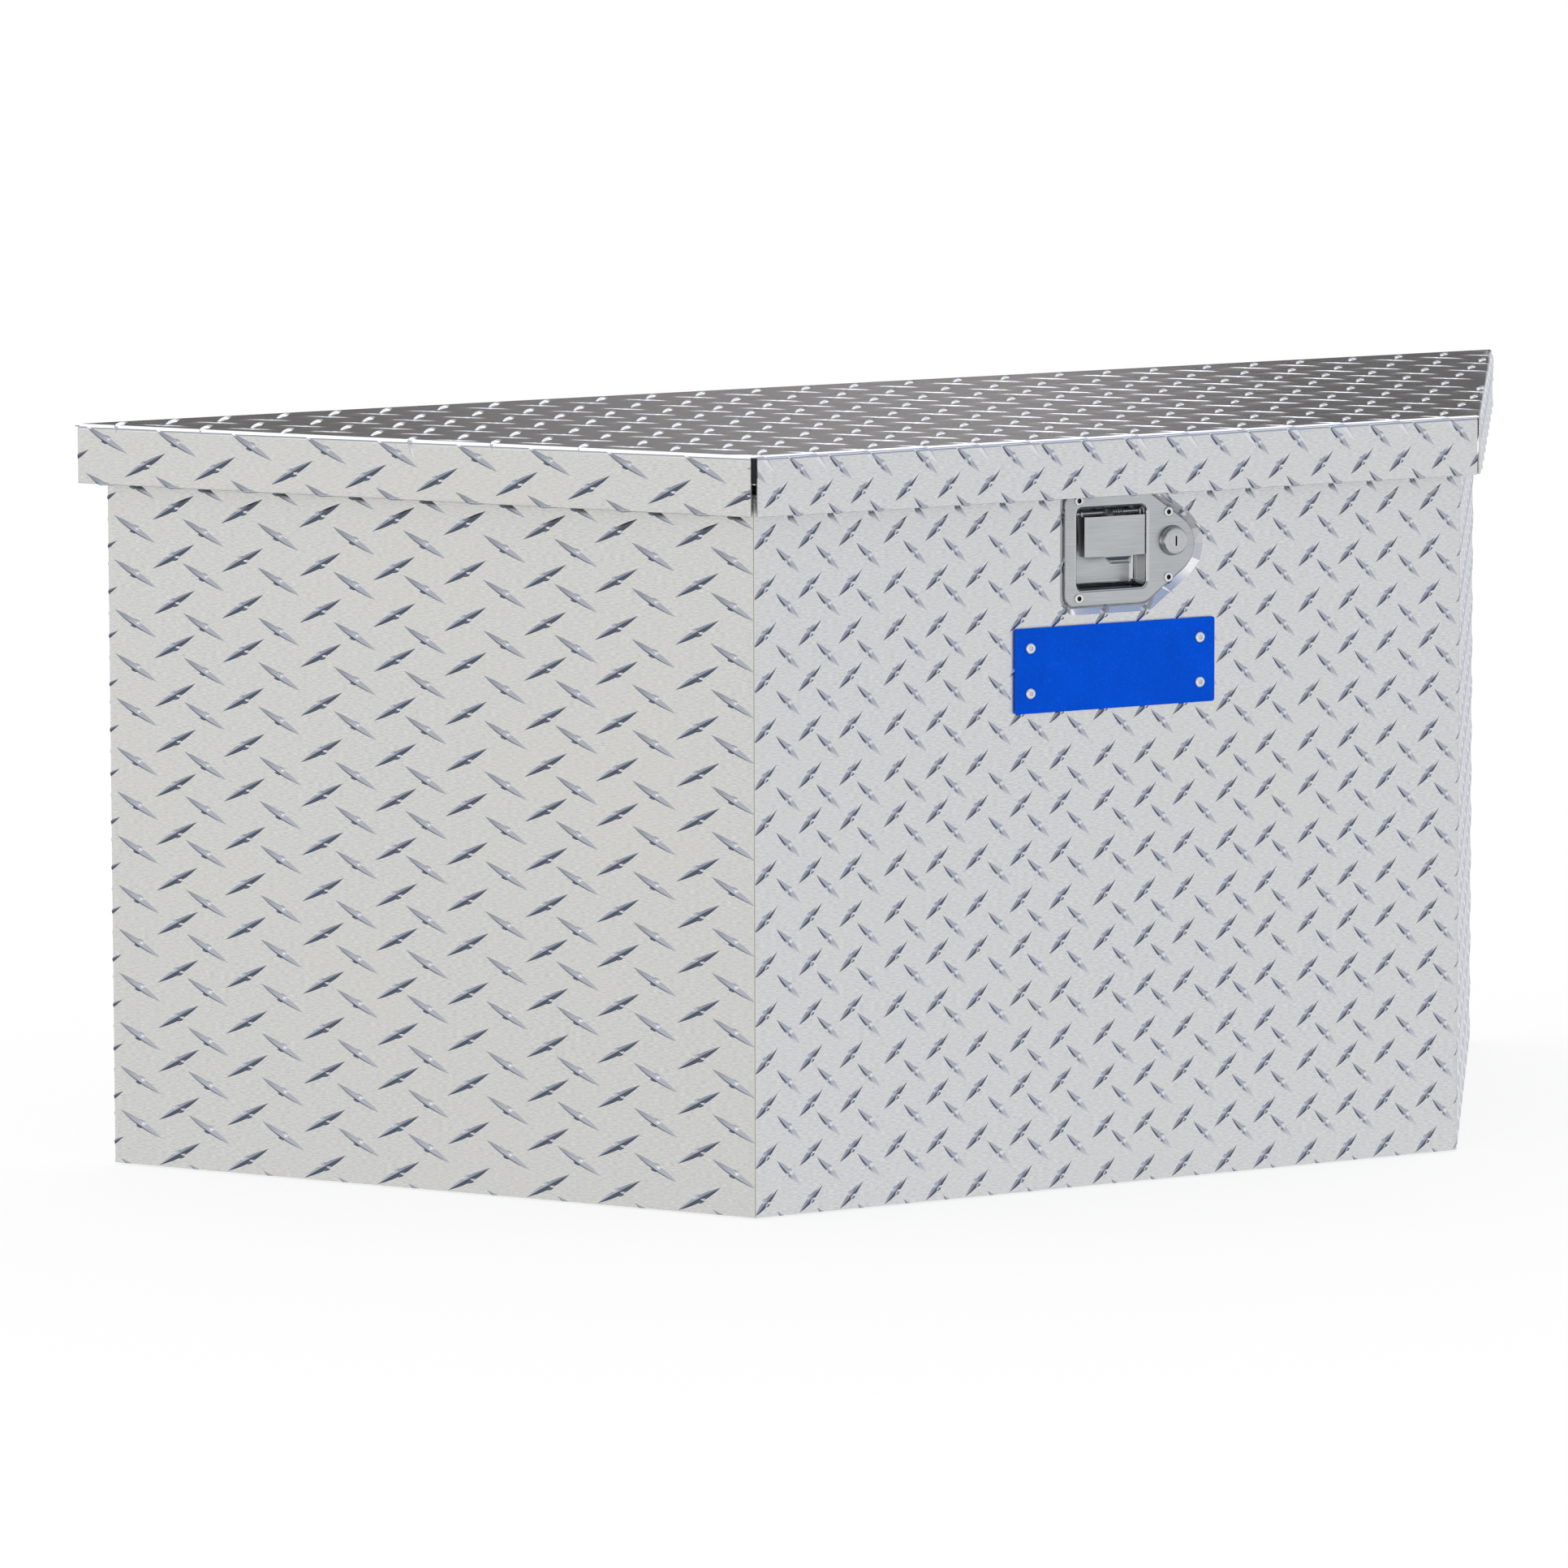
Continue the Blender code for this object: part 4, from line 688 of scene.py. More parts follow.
def lid_flap(start, end, turns, hemmed):
    """One skirt of the lid laid flat: its fold and section, its outline and its bend lines."""
    length = float(np.linalg.norm(end - start))
    along = (end - start) / length
    out = np.array((along[1], -along[0]))
    section = [(FOLD_BEND, -math.pi / 2), (SKIRT - FOLD_RADIUS, 0)]
    if hemmed:
        section[1:] = [(SKIRT - FOLD_RADIUS - HEM_RADIUS, 0), (HEM_RADIUS * math.pi / 2, -math.pi / 2), (HEM, 0)]
    path = rounded_path(section)
    total = path[0][-1]
    tangents = [math.tan(turn / 2) for turn in turns]
    slots = [SLOT_HALF / math.cos(turn / 2) for turn in turns]
    wide = [FOLD_RADIUS * tangent - slot for tangent, slot in zip(tangents, slots)]

    def ends(t, more, less=(0, 0)):
        """The flap's two ends at t from its fold, further out than the fold's by more and cut back by less."""
        shares = (-more[0] + less[0], length + more[1] - less[1])
        return [tuple(start + along * share + out * t) for share in shares]

    pairs = []
    lines = []
    for i in range(FOLD_STEPS + 1):
        t = FOLD_BEND * i / FOLD_STEPS
        grow = FOLD_RADIUS * math.sin(t / FOLD_RADIUS)
        more = [grow * tangent for tangent in tangents]
        if i <= SLOT_START:
            pairs.append(ends(t, more))
        if i >= SLOT_START:
            pairs.append(ends(t, more, slots))
        lines.append(pairs[-1])
    if hemmed:
        hem = total - HEM - HEM_RADIUS * math.pi / 2
        pairs.append(ends(hem, wide))
        lines += [ends(t, wide) for t in path[0] if hem - 1e-6 <= t <= total - HEM + 1e-6]
    pairs.append(ends(total, wide, (HEM, HEM) if hemmed else (0, 0)))
    outline = [first for first, last in pairs] + [last for first, last in reversed(pairs)]
    return (start, along, out, length, path), outline, lines


def lid_lugs(corners, flaps):
    """Large lugs on the lid's top, and the walls' lugs on its skirts."""
    lugs = []
    for x, y in lattice(LID_COLUMNS, LID_ROWS, *LID_SPAN):
        for sign, dx, dy in ((1, 0, 0), (-1, *LID_FALL_SHIFT)):
            centre = np.array(((x + dx) * MM, (y + dy) * MM))
            if inside(centre[None], corners)[0]:
                lugs.append(Lug(centre, LID_LUG_HALF, sign, shape=LID_LUGS[sign]))
    for k, (start, along, out, length, path) in enumerate(flaps):
        side = k in (1, 3)
        stretch = STRETCH if side else 1.0
        rise = SIDE_SKIRT_RISE if side else SKIRT_RISE
        fall = SIDE_SKIRT_FALL if side else SKIRT_FALL
        hand = -1 if k == 1 else 1
        for columns, rows, sign in ((rise, SKIRT_RISE_ROWS, 1), (fall, SKIRT_FALL_ROWS, -1)):
            for x, z in lattice(columns, rows, *SKIRT_SPAN):
                share = (hand * x * MM - start[0] - FOLD_RADIUS * out[0]) / along[0]
                if -LUG_PAST_END < share < length + LUG_PAST_END:
                    centre = start + along * share + out * (FOLD_BEND + HEIGHT - FOLD_RADIUS - z * MM)
                    lugs.append(Lug(centre, LUG_HALF, hand * sign, stretch, along, -out))
    return lugs


def make_lid():
    """The lid's skin: a flat top with a skirt folded down at each side, all but the rear one hemmed."""
    corners = lid_corners()
    turns = (FRONT_TURN, FRONT_TURN, REAR_TURN, REAR_TURN)
    flaps = []
    outline = []
    lines = []
    for k in range(4):
        after = (k + 1) % 4
        flap, ring, folds = lid_flap(corners[k], corners[after], (turns[k], turns[after]), k != 2)
        flaps.append(flap)
        outline += ring
        lines += folds

    def beyond_folds(flat):
        return np.stack([(flat - start) @ out for start, along, out, length, path in flaps])

    def place(flat):
        where = np.column_stack([flat, np.full(len(flat), HEIGHT)])
        normal = np.tile((0.0, 0.0, 1.0), (len(flat), 1))
        far = beyond_folds(flat)
        which = far.argmax(axis=0)
        beyond = far.max(axis=0)
        for k, (start, along, out, length, path) in enumerate(flaps):
            chosen = (which == k) & (beyond > 0)
            if not chosen.any():
                continue
            share = (flat[chosen] - start) @ along
            spot, tilt = along_path(path, beyond[chosen])
            where[chosen, :2] = start + share[:, None] * along + spot[:, :1] * out
            where[chosen, 2] = HEIGHT + spot[:, 1]
            normal[chosen, :2] = tilt[:, :1] * out
            normal[chosen, 2] = tilt[:, 1]
        return where, normal

    def polish(middle):
        return beyond_folds(middle).max(axis=0) < FOLD_BEND

    def grain(corners):
        far = beyond_folds(corners.mean(axis=1))
        result = corners.copy()
        for k, (start, along, out, length, path) in enumerate(flaps):
            chosen = (far.argmax(axis=0) == k) & (far[k] > 0)
            local = corners[chosen] - start
            result[chosen] = np.stack([local @ along + 3 * (k + 1), local @ out], axis=-1)
        return result

    lugs = lid_lugs(corners, flaps)
    piece = sheet_piece("lid_skin_sheet", outline, [], lines, lugs, place, polish, grain=grain)
    settle(piece, "lid", "tread_plate", "lid_skin")


def at_latch(x, z, depth):
    return (x, FRONT_Y + depth, LATCH_Z + z)


def ring_of(radius, x=0.0, z=0.0, steps=48):
    turn = 2 * math.pi / steps
    return [(x + radius * math.cos(i * turn), z + radius * math.sin(i * turn)) for i in range(steps)]


def pan_ring(offset):
    """The pan's rounded outline, moved out by offset, always with the same count of points."""
    wide = PAN_HALF[0] + offset
    high = PAN_HALF[1] + offset
    radius = PAN_CORNER + offset
    ring = []
    for k, (sx, sz) in enumerate(((1, 1), (-1, 1), (-1, -1), (1, -1))):
        for step in range(ROUND_STEPS + 1):
            angle = (k + step / ROUND_STEPS) * math.pi / 2
            x = sx * (wide - radius) + radius * math.cos(angle)
            ring.append((x, sz * (high - radius) + radius * math.sin(angle)))
    return ring


def add_ring(mesh, ring, depth):
    return [mesh.verts.new(at_latch(x, z, depth)) for x, z in ring]


def add_band(mesh, first, second, shine=None):
    """Faces between two rings, marked as polished where a layer is given for that."""
    count = len(first)
    for i in range(count):
        j = (i + 1) % count
        face = mesh.faces.new((first[i], first[j], second[j], second[i]))
        if shine:
            face[shine] = 1.0


def add_fill(mesh, outline, holes, depth):
    """A flat face with holes at one depth, towards the front."""
    flat, faces = triangulate(outline, holes, [], [])
    spots = [mesh.verts.new(at_latch(x, z, depth)) for x, z in flat]
    for face in faces:
        mesh.faces.new([spots[i] for i in face])


def finish_piece(mesh, name, body, slot, node, smooth, wall=None):
    """Makes the object, gives an open sheet its wall, and sets where it shades sharp."""
    piece = to_piece(name, mesh)
    if wall:
        thicken = piece.modifiers.new("Wall", "SOLIDIFY")
        thicken.thickness = wall
        thicken.offset = -1
        graph = bpy.context.evaluated_depsgraph_get()
        piece.data = bpy.data.meshes.new_from_object(piece.evaluated_get(graph))
        piece.modifiers.clear()
        piece.data.name = name
    shade(piece, smooth)
    settle(piece, body, slot, node)
    return piece


def make_housing():
    """The latch plate drawn into its pan: a rounded edge, a rolled rim, filleted walls and the lever's slot."""
    mesh = bmesh.new()
    shine = mesh.faces.layers.float.new("polish")
    edge = [(-PLATE_EDGE * (1 - math.cos(a)), PLATE_EDGE * (1 - math.sin(a))) for a in QUARTER]
    rings = [add_ring(mesh, teardrop(0), PLATE_BACK)]
    rings += [add_ring(mesh, teardrop(out), PLATE_FRONT + depth) for out, depth in edge]
    for first, second in zip(rings, rings[1:]):
        add_band(mesh, first, second)
    lip = [(PAN_LIP * (1 - math.sin(a)), PAN_LIP * (1 - math.cos(a))) for a in QUARTER]
    foot = PAN_DEPTH - PAN_FILLET
    lip += [(PAN_FILLET * (math.cos(a) - 1), foot + PAN_FILLET * math.sin(a)) for a in QUARTER]
    rings = [add_ring(mesh, pan_ring(out), PLATE_FRONT + depth) for out, depth in lip]
    for first, second in zip(rings, rings[1:]):
        add_band(mesh, first, second, shine)
    holes = [pan_ring(PAN_LIP), ring_of(LOCK_BORE, LOCK_X, LOCK_RISE)]
    holes += [ring_of(RIVET_BORE, x, z, 16) for x, z in LATCH_RIVETS]
    add_fill(mesh, teardrop(-PLATE_EDGE), holes, PLATE_FRONT)
    add_fill(mesh, pan_ring(-PAN_FILLET), [rectangle(*LEVER_SLOT)], PLATE_FRONT + PAN_DEPTH)
    bmesh.ops.remove_doubles(mesh, verts=mesh.verts, dist=1e-6)
    piece = finish_piece(mesh, "latch_housing_shell", "tub", "stainless", "latch_housing", HOUSING_SHARP, PLATE_WALL)
    even = piece.modifiers.new("Even", "WEIGHTED_NORMAL")
    even.keep_sharp = True


def fold_path(half, folds):
    """Rows of distance, place across, depth and turn along a sheet folded back at its side, from its middle."""
    rows = [(0.0, 0.0, 0.0, 0.0)]
    for size, degrees in folds:
        steps = FOLD_STEPS if degrees else 1
        turn = math.radians(degrees) / steps
        step = size * turn if degrees else size
        for _ in range(steps):
            along, across, depth, heading = rows[-1]
            mean = heading + turn / 2
            rows.append((along + step, across + step * math.cos(mean), depth + step * math.sin(mean), heading + turn))
    start = half - rows[-1][1]
    rows = [(along + start, across + start, depth, heading) for along, across, depth, heading in rows]
    along, across, depth, heading = rows[-1]
    rows.append((along + PADDLE_REACH, across, depth + PADDLE_REACH, heading))
    return np.array([(0.0, 0.0, 0.0, 0.0), *rows])


def make_paddle():
    """The paddle: a folded sheet with two flanges for its pin and a dished finger tab."""
    middle = sum(PADDLE_SIDES) / 2
    half = PADDLE_SIDES[1] - middle
    paths = {side: fold_path(half, folds) for side, folds in PADDLE_FOLDS.items()}

    def unfolded(side, depth):
        along, depths = paths[side][-2:, 0], paths[side][-2:, 2]
        return side * np.interp(depth - PADDLE_FRONT, depths, along)

    pin_depth, rise = PADDLE_PIN
    ear = [(pin_depth, PADDLE_BOTTOM), (pin_depth + PADDLE_EAR, rise - PADDLE_EAR)]
    for step in range(13):
        angle = math.pi * step / 12
        ear.append((pin_depth + PADDLE_EAR * math.cos(angle), rise + PADDLE_EAR * math.sin(angle)))
    ear += [(pin_depth - PADDLE_EAR, PADDLE_TOP)]
    right = [(unfolded(1, depth), z) for depth, z in ear]
    left = [(unfolded(-1, depth), z) for depth, z in reversed(ear)]
    tab = [(TAB_TOP[0], PADDLE_BOTTOM), (TAB_TIP[0], PADDLE_BOTTOM - TAB_DROP)]
    tab += [(TAB_TIP[1], PADDLE_BOTTOM - TAB_DROP), (TAB_TOP[1], PADDLE_BOTTOM)]
    tab = [(x - middle, z) for x, z in tab]
    outline = tab + right + left
    holes = [ring_of(PADDLE_PIN_BORE, unfolded(side, pin_depth), rise, 24) for side in (-1, 1)]
    lines = []
    for side, path in paths.items():
        for along in path[1:-1, 0]:
            lines.append([(side * along, PADDLE_BOTTOM), (side * along, PADDLE_TOP)])
    edges = []
    for a, b in zip(tab, tab[1:]):
        run = (np.array(b) - a) / np.linalg.norm(np.array(b) - a)
        edges.append((np.array(a), run, np.array((-run[1], run[0]))))

    def sink_of(flat):
        below = PADDLE_BOTTOM - flat[:, 1]
        near = np.full(len(flat), 1.0)
        for start, _, inward in edges:
            near = np.minimum(near, (flat - start) @ inward)
        slope = TAB_SINK / (TAB_DROP - TAB_RIM)
        return np.clip(np.minimum(below * slope, near * TAB_SINK / TAB_RIM), 0, None)

    for share in TAB_STEPS:
        height = PADDLE_BOTTOM - (TAB_DROP - TAB_RIM) * share
        ends = (tab[0][0] + TAB_SLANTS[0] * share, tab[-1][0] - TAB_SLANTS[1] * share)
        lines.append([(x, height) for x in ends])
    inner = [(start + inward * TAB_RIM, run) for start, run, inward in edges]
    spots = []
    for (a, u), (b, w) in zip(inner, inner[1:]):
        share = np.linalg.solve(np.stack([u, -w], axis=1), b - a)[0]
        spots.append(tuple(a + u * share))
    lines.append([tab[0], *spots, tab[-1]])

    def place(flat):
        side = np.sign(flat[:, 0])
        across, depth, turn = np.zeros((3, len(flat)))
        for hand, path in paths.items():
            chosen = side == hand
            far = np.abs(flat[chosen, 0])
            found = [np.interp(far, path[:, 0], path[:, k]) for k in (1, 2, 3)]
            across[chosen], depth[chosen], turn[chosen] = found
        back = FRONT_Y + PADDLE_FRONT + depth + sink_of(flat)
        where = np.column_stack([middle + side * across, back, LATCH_Z + flat[:, 1]])
        return where, np.column_stack([side * np.sin(turn), -np.cos(turn), np.zeros(len(flat))])

    def polish(middle):
        return sink_of(middle) > 1e-6

    piece = sheet_piece("paddle_shell", outline, holes, lines, [], place, polish, PADDLE_SHEET)
    shade(piece, PADDLE_SHARP)
    settle(piece, "paddle", "stainless", "paddle")


def lathe(name, profile, at, facing, body, slot, node=None, dark=False, steps=48):
    """A turned piece from (radius, height) points along facing, black all over if dark is set, as painted shade."""
    mesh = bmesh.new()
    rings = []
    for radius, height in profile:
        ring = ring_of(radius, at[0], at[2], steps) if radius else [(at[0], at[2])]
        rings.append([mesh.verts.new((x, at[1] + facing * height, z)) for x, z in ring])
    for first, second in zip(rings, rings[1:]):
        for i in range(steps):
            j = (i + 1) % steps
            corners = [ring[k % len(ring)] for ring, k in ((first, i), (first, j), (second, j), (second, i))]
            face = mesh.faces.new(list(dict.fromkeys(corners)))
            face.material_index = int(dark)
    bmesh.ops.recalc_face_normals(mesh, faces=mesh.faces)
    piece = finish_piece(mesh, name, body, slot, node, TURNED_SHARP)
    # A black second slot, for painted shade in holes and behind the lock's keyway
    piece.data.materials.append(MATERIALS["black_enamel"])
    return piece


def make_lock():
    at = at_latch(LOCK_X, LOCK_RISE, LOCK_SEAT)
    lathe("lock_cylinder_body", LOCK_PROFILE, at, -1, "tub", "chrome", "lock_cylinder")
    half, high, deep = KEYWAY
    slot = rectangle(LOCK_X - half, LOCK_RISE - high, LOCK_X + half, LOCK_RISE + high)
    face = LOCK_SEAT - LOCK_PROUD

    def place(flat):
        where = np.array([at_latch(x, z, face) for x, z in flat])
        return where, np.tile((0.0, -1.0, 0.0), (len(flat), 1))

    outline = ring_of(PLUG_RADIUS, LOCK_X, LOCK_RISE)
    piece = sheet_piece("lock_plug_face", outline, [slot], [], [], place, None, deep)
    settle(piece, "lock", "chrome", "lock_plug")
    # The keyway's walls, and the plug's rear that shows through the keyway, are black: painted shade
    piece.data.materials.append(MATERIALS["black_enamel"])
    for face_of in piece.data.polygons:
        inward = abs(face_of.normal.y) < 0.5 and abs(face_of.center.x - LOCK_X) < 2 * half
        face_of.material_index = int(inward and abs(face_of.center.z - LATCH_Z - LOCK_RISE) < 1.1 * high)
    end = -LOCK_PROUD - LOCK_LENGTH
    rear = ((0.0, -deep), (PLUG_RADIUS, -deep), (PLUG_RADIUS, end), (0.0, end))
    lathe("lock_plug_rear", rear, at_latch(LOCK_X, LOCK_RISE, face - PLUG_LAP), -1, "lock", "chrome", dark=True)


def rivet_profile(head, rise, hole, deep, grip):
    """A blind rivet's section: its mandrel's hole, a low domed flange and the shank."""
    points = [(0.0, rise - deep), (hole, rise - deep), (hole, rise * 0.85), (hole * 1.12, rise)]
    inner = hole * 1.12
    for share in (0.3, 0.55, 0.75, 0.9, 0.97, 1.0):
        points.append((inner + (head - inner) * share, rise * math.sqrt(1 - (0.94 * share**2) ** 2)))
    points += [(head, 0.0), (RIVET_SHANK, 0.0), (RIVET_SHANK, -grip), (0.0, -grip)]
    return points


def make_rivets():
    """A turned rivet for each of the CAD's, with the first two bands of its faces, its hole, in black as painted shade,
    and in chrome on the nameplate's rivets.
    """
    for node in sorted(NODES):
        if "_rivet_" not in node:
            continue
        low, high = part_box(node)
        facing = 1 if node.startswith("hinge") else -1
        seat = high[1] - RIVET_SEAT if facing > 0 else low[1] + RIVET_SEAT
        middle = ((low[0] + high[0]) / 2, seat, (low[2] + high[2]) / 2)
        kind = node.split("_")[0]
        shape = rivet_profile(*RIVETS[kind], high[1] - low[1] - RIVET_SEAT)
        body = "lid" if node.startswith("hinge_lid") else "tub"
        piece = lathe(node + "_turned", shape, middle, facing, body, "plain_aluminium", node, steps=RIVET_STEPS)
        piece.data.materials[0] = MATERIALS["rivet"]
        if kind == "nameplate":
            piece.data.materials[1] = MATERIALS["chrome"]
        # The hole's faces: where they are black, that black is painted shade
        for polygon in piece.data.polygons[: 2 * RIVET_STEPS]:
            polygon.material_index = 1


class Nodes:
    """A node tree, added to and joined in few words."""

    def __init__(self, tree):
        self.tree = tree

    def add(self, kind, inputs=None, **settings):
        node = self.tree.nodes.new("ShaderNode" + kind)
        for key, value in settings.items():
            setattr(node, key, value)
        for key, value in (inputs or {}).items():
            self.join(value, node.inputs[key])
        return node

    def join(self, value, socket):
        if isinstance(value, bpy.types.NodeSocket):
            self.tree.links.new(value, socket)
        else:
            socket.default_value = value

    def ramp(self, value, stops):
        """A colour ramp through (place, tone) stops, where a tone is a colour or the number of a grey."""
        node = self.add("ValToRGB", {"Fac": value})
        ramp = node.color_ramp
        while len(ramp.elements) < len(stops):
            ramp.elements.new(0.5)
        for element, (at, tone) in zip(ramp.elements, stops):
            element.position = at
            element.color = (*np.full(3, tone, float), 1)
        return node.outputs["Color"]

    def span(self, value, low, high, to_low=0.0, to_high=1.0):
        limits = {"From Min": low, "From Max": high, "To Min": to_low, "To Max": to_high}
        return self.add("MapRange", {"Value": value, **limits}).outputs["Result"]

    def mix(self, share, first, second, blend="MIX"):
        node = self.add("Mix", {0: share, 6: first, 7: second}, data_type="RGBA", blend_type=blend)
        return node.outputs[2]

    def blend(self, share, first, second):
        """As mix, for numbers."""
        return self.add("Mix", {0: share, 2: first, 3: second}).outputs[0]

    def math(self, operation, first, second):
        return self.add("Math", {0: first, 1: second}, operation=operation).outputs[0]


class Shader(Nodes):
    """A material's nodes, round its Principled BSDF."""

    def __init__(self, name):
        self.material = bpy.data.materials.new(name)
        self.material.use_nodes = True
        super().__init__(self.material.node_tree)
        self.surface = self.tree.nodes["Principled BSDF"]

    def set(self, **values):
        for key, value in values.items():
            self.join(value, self.surface.inputs[key.replace("_", " ").title()])

    def attribute(self, name):
        return self.add("Attribute", attribute_name=name).outputs["Fac"]

    def noise(self, where, scale, detail=2.0, rough=0.5, size=(1, 1, 1)):
        mapped = self.add("Mapping", {"Vector": where, "Scale": size})
        node = self.add("TexNoise", {"Vector": mapped.outputs[0], "Scale": scale, "Detail": detail, "Roughness": rough})
        return node.outputs["Fac"]

    def bump(self, height, strength, distance):
        node = self.add("Bump", {"Height": height, "Strength": strength, "Distance": distance})
        self.join(node.outputs[0], self.surface.inputs["Normal"])


def colour(red, green, blue):
    return (red, green, blue, 1)


def tread_material():
    """Rolled aluminium: short streaks along the sheet, smoother lugs, and polish on the lid's top and folds."""
    m = Shader("tread_plate")
    where = m.add("UVMap", uv_map="sheet").outputs[0]
    lug, polish, corner_band = (m.attribute(name) for name in ("lug", "polish", "corner_band"))
    streak = m.noise(where, 1.0, 3.0, 0.6, (230, 1300, 1))
    fine = m.noise(where, 1.0, 2.0, 0.5, (260, 4200, 1))
    cloud = m.noise(where, 5.0, 3.0, 0.6)
    base = m.ramp(streak, [(0.3, (0.68, 0.68, 0.675)), (0.7, (0.99, 0.99, 0.98))])
    base = m.mix(m.span(cloud, 0.3, 0.7, 0.0, 0.4), base, colour(0.87, 0.85, 0.81))
    # A darker olive strip along each side wall's front corner
    base = m.mix(corner_band, base, colour(0.52, 0.50, 0.40))
    speck = m.noise(where, 1300.0, 1.0, 0.5)
    shiny = m.ramp(speck, [(0.3, (0.72, 0.73, 0.75)), (0.7, (0.93, 0.93, 0.95))])
    base = m.mix(polish, base, shiny)
    base = m.mix(lug, base, colour(0.75, 0.765, 0.80))
    m.set(base_color=base, metallic=1.0)
    rough = m.span(fine, 0.3, 0.7, 0.38, 0.48)
    m.set(roughness=m.blend(lug, m.blend(polish, rough, 0.11), 0.17))
    m.bump(m.blend(lug, m.blend(polish, streak, 0.5), 0.5), 0.12, 0.0002)
    return m.material


def brushed_material(name, tone, rough, size=(60, 60, 2500), contrast=0.10):
    """Metal with brush streaks; size is how closely they lie along each axis."""
    m = Shader(name)
    where = m.add("TexCoord").outputs["Object"]
    streak = m.noise(where, 1.0, 3.0, 0.6, size)
    cloud = m.noise(where, 25.0, 2.0, 0.5)
    low = tuple(t * (1 - contrast) for t in tone)
    high = tuple(min(1.0, t * (1 + contrast)) for t in tone)
    base = m.ramp(streak, [(0.3, low), (0.7, high)])
    matt = m.span(cloud, 0.3, 0.7, rough - 0.04, rough + 0.05)
    m.set(base_color=base, metallic=1.0, roughness=m.blend(m.attribute("polish"), matt, 0.12))
    m.bump(streak, 0.10, 0.0001)
    return m.material


def paint_material(name, tone, rough, grain=900.0, bump=0.15, specular=0.5):
    """Paint, rubber or foam with a fine pebble and paler flecks."""
    m = Shader(name)
    where = m.add("TexCoord").outputs["Object"]
    pebble = m.noise(where, grain, 2.0, 0.5)
    cloud = m.noise(where, 30.0, 3.0, 0.6)
    low = tuple(t * 0.86 for t in tone)
    base = m.ramp(cloud, [(0.3, low), (0.7, tone)])
    fleck = colour(*(min(1.0, t * 1.6) for t in tone))
    base = m.mix(m.span(pebble, 0.52, 0.72, 0.0, 0.4), base, fleck)
    m.set(base_color=base, metallic=0.0, roughness=m.span(pebble, 0.3, 0.7, rough - 0.05, rough + 0.08))
    m.surface.inputs["Specular IOR Level"].default_value = specular
    m.bump(pebble, bump, 0.0002)
    return m.material


MATERIALS = {
    "tread_plate": tread_material(),
    "plain_aluminium": brushed_material("plain_aluminium", (0.80, 0.80, 0.80), 0.35),
    "stainless": brushed_material("stainless", (0.54, 0.555, 0.56), 0.32, (40, 900, 2600)),
    "zinc_steel": brushed_material("zinc_steel", (0.62, 0.63, 0.65), 0.40, (300, 300, 300)),
    "chrome": brushed_material("chrome", (0.56, 0.57, 0.58), 0.22, (400, 400, 400), 0.04),
    "rivet": brushed_material("rivet", (0.94, 0.945, 0.95), 0.38, (400, 400, 400), 0.04),
    # Black enamel; its black in the rivets' holes and in the lock's keyway is painted shade
    "black_enamel": paint_material("black_enamel", (0.02, 0.02, 0.021), 0.30),
    "rubber": paint_material("rubber", (0.022, 0.022, 0.022), 0.75, 1400.0, 0.3),
    "blue_plate": paint_material("blue_plate", (0.0, 0.092, 0.78), 0.22, 700.0, 0.25, 0.04),
    # Near-black foam: on the lid's core, seen through the corner slots, this dark tone is painted shade
    "foam": paint_material("foam", (0.03, 0.03, 0.032), 0.9, 500.0, 0.5),
}


def dress_nodes():
    """Gives every CAD node that still shows its material and softened edges."""
    slots = {row["node"]: row["material_slot"] for row in frame["record"]["subparts"]}
    for name, node in NODES.items():
        node.data.materials.clear()
        node.data.materials.append(MATERIALS[slots[name]])
        if node.hide_render:
            continue
        weld = node.modifiers.new("Weld", "WELD")
        weld.merge_threshold = 1e-6
        soft = node.modifiers.new("Soften", "BEVEL")
        plate = name == "nameplate"
        soft.width = NAMEPLATE_EDGE if plate else SOFT_EDGE
        soft.segments = 3 if plate else 2
        soft.limit_method = "ANGLE"
        soft.angle_limit = math.radians(35)
        node.data.shade_smooth()
        even = node.modifiers.new("Even", "WEIGHTED_NORMAL")
        even.keep_sharp = False


def make_camera():
    azimuth, elevation, roll = (math.radians(angle) for angle in (AZIMUTH, ELEVATION, ROLL))
    level = math.cos(elevation)
    back = Vector((math.sin(azimuth) * level, -math.cos(azimuth) * level, math.sin(elevation)))
    right = (-back).cross(Vector((0, 0, 1))).normalized()
    down = (-back).cross(right)
    across = math.cos(roll) * right - math.sin(roll) * down
    below = math.sin(roll) * right + math.cos(roll) * down
    lens = bpy.data.cameras.new("camera")
    lens.sensor_width = 36
    lens.lens = LENS
    lens.clip_end = 100
    camera = link("camera", lens)
    turn = Matrix((across, -below, back)).transposed().to_4x4()
    camera.matrix_world = Matrix.Translation(CAMERA_PLACE) @ turn
    bpy.context.scene.camera = camera


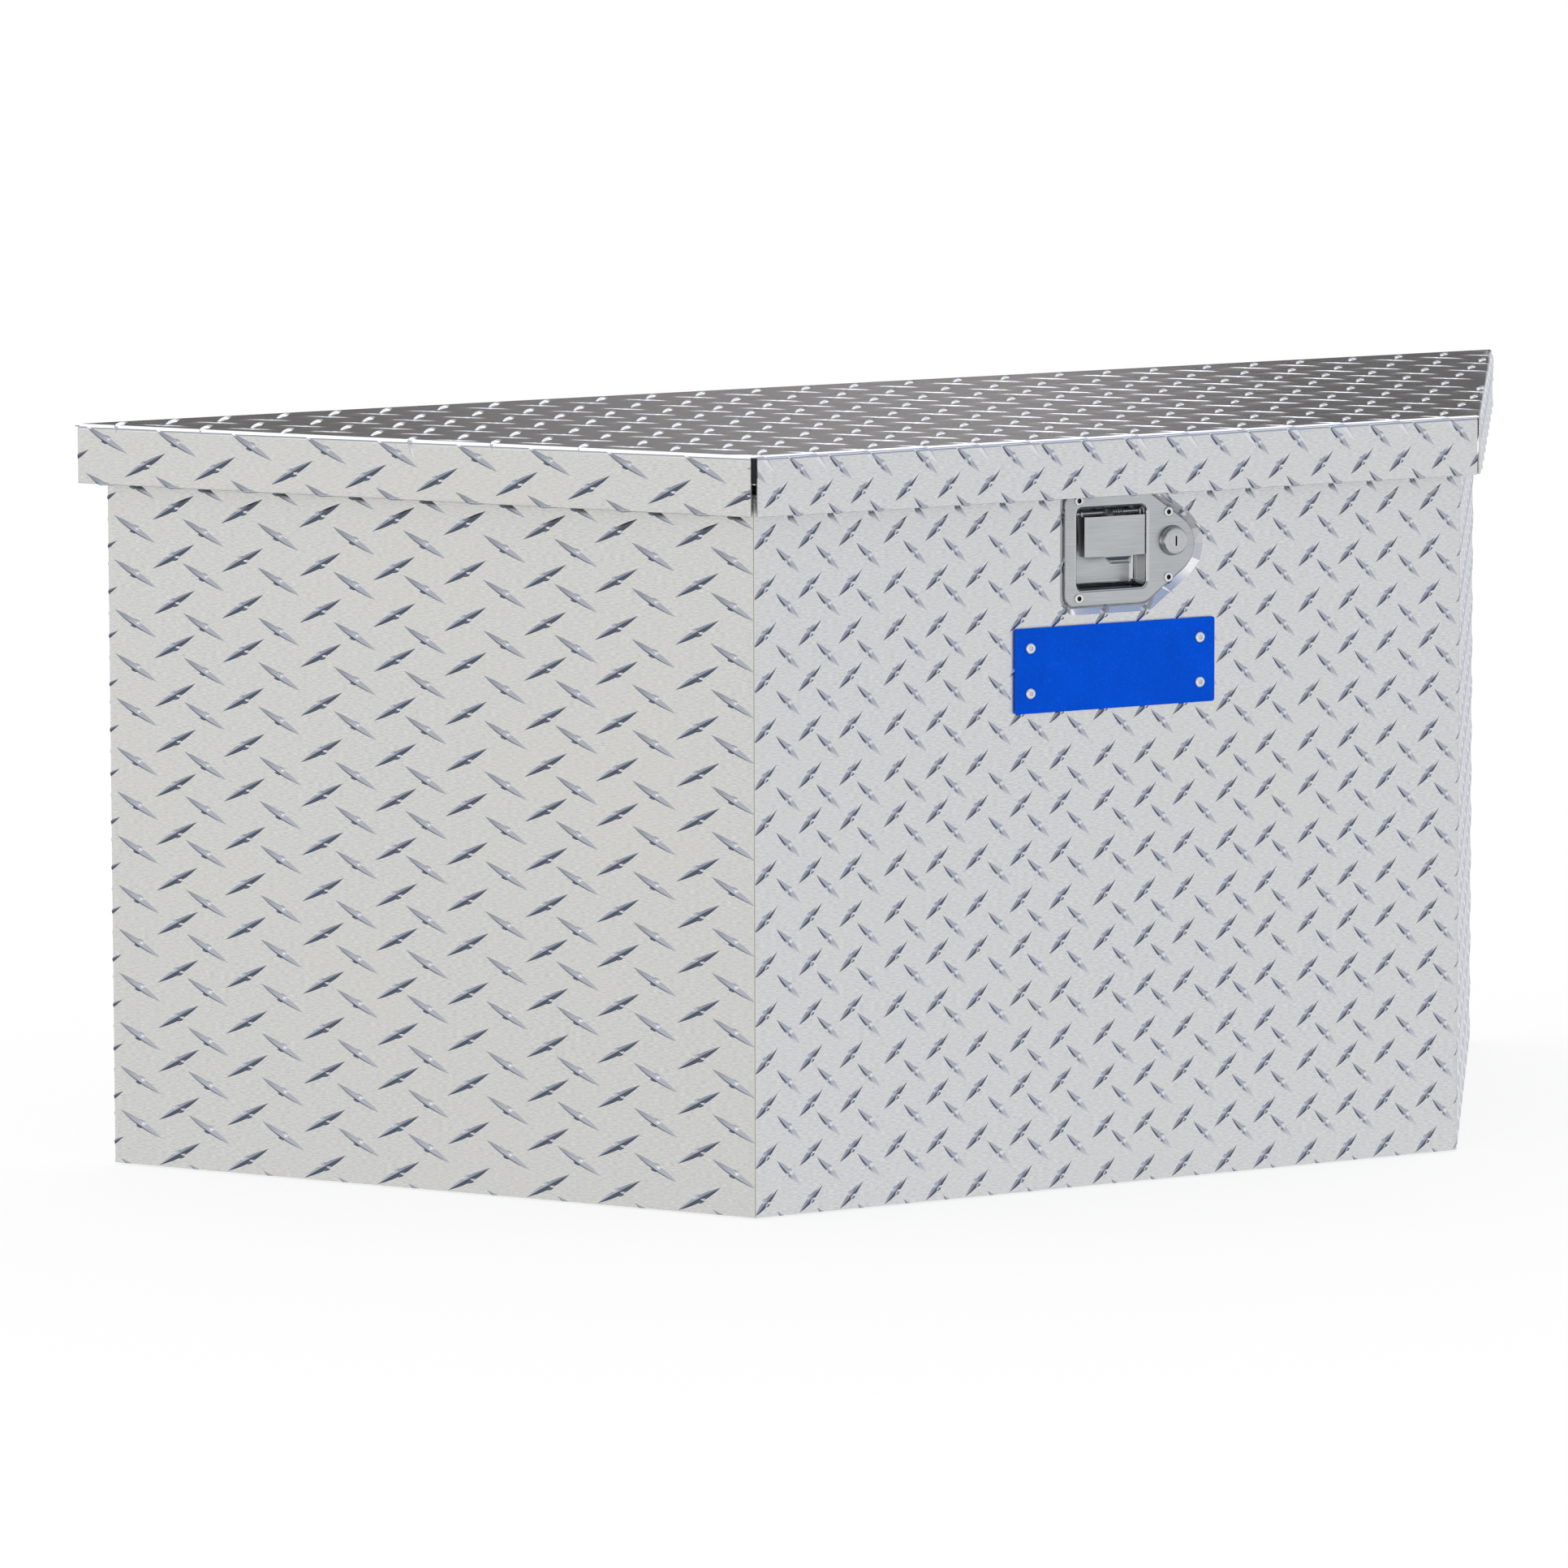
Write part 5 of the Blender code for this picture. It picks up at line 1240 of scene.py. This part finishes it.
def make_floor():
    """A pale floor that keeps the box's shadow and is white to the camera."""
    shape = bmesh.new()
    bmesh.ops.create_circle(shape, cap_ends=True, segments=64, radius=FLOOR_RADIUS)
    bmesh.ops.translate(shape, verts=shape.verts, vec=(0, 0, FLOOR_Z))
    floor = to_piece("floor", shape)
    m = Shader("floor")
    m.set(base_color=colour(FLOOR_TONE, FLOOR_TONE, FLOOR_TONE), roughness=0.9)
    m.surface.inputs["Specular IOR Level"].default_value = 0.0
    camera = m.add("LightPath").outputs["Is Camera Ray"]
    glow = m.add("Emission", {"Color": WHITE, "Strength": FLOOR_GLOW})
    unlit = m.add("BsdfDiffuse", {"Color": colour(FLOOR_BOUNCE, FLOOR_BOUNCE, FLOOR_BOUNCE)})
    other = m.add("MixShader", {0: camera, 1: unlit.outputs[0], 2: glow.outputs[0]})
    both = m.add("AddShader", {0: m.surface.outputs[0], 1: other.outputs[0]})
    m.join(both.outputs[0], m.tree.nodes["Material Output"].inputs["Surface"])
    floor.data.materials.append(m.material)
    floor.visible_glossy = False


def make_world():
    """White to the camera, even to diffuse light, and a studio with light and dark parts to reflections."""
    world = bpy.data.worlds.new("studio")
    bpy.context.scene.world = world
    world.use_nodes = True
    world.node_tree.nodes.clear()
    w = Nodes(world.node_tree)
    x, y, z = w.add("SeparateXYZ", {0: w.add("TexCoord").outputs["Generated"]}).outputs
    height = w.span(z, -1, 1)
    across = w.span(y, -1, 1)
    far = w.mix(1.0, w.ramp(height, FAR_STUDIO), w.ramp(w.span(x, *PATCH_SPAN), PATCH), "MULTIPLY")
    seen = w.mix(w.span(y, *FAR_FROM), w.ramp(height, NEAR_STUDIO), far)
    low = w.math("MULTIPLY", w.span(x, *LOW_STRIP_X), w.span(height, *LOW_STRIP_FROM))
    low = w.math("MULTIPLY", w.ramp(across, LOW_STRIP), low)
    high = w.math("MULTIPLY", w.ramp(across, HIGH_STRIP), w.span(height, *HIGH_STRIP_FROM))
    seen = w.mix(w.math("MAXIMUM", low, high), seen, STRIP)
    beside = w.mix(w.span(x, *LEFT_FROM), w.ramp(across, BESIDE), w.ramp(across, BESIDE_LEFT))
    seen = w.mix(w.math("MULTIPLY", beside, w.ramp(height, BELOW)), seen, LIGHT_FLOOR)
    seen = w.mix(1.0, seen, w.ramp(w.span(x, -1, 1), WARMTH), "MULTIPLY")
    path = w.add("LightPath").outputs
    shiny = w.add("Background", {"Color": seen}).outputs[0]
    plain = w.add("Background", {"Color": WHITE, "Strength": ROOM_LIGHT}).outputs[0]
    white = w.add("Background", {"Color": WHITE}).outputs[0]
    lights = w.add("MixShader", {0: path["Is Glossy Ray"], 1: plain, 2: shiny}).outputs[0]
    both = w.add("MixShader", {0: path["Is Camera Ray"], 1: lights, 2: white}).outputs[0]
    w.add("OutputWorld", {"Surface": both})


make_walls()
make_lid()
make_housing()
make_paddle()
make_lock()
make_rivets()
dress_nodes()
make_camera()
make_floor()
make_world()
bpy.context.scene.view_settings.view_transform = "Standard"
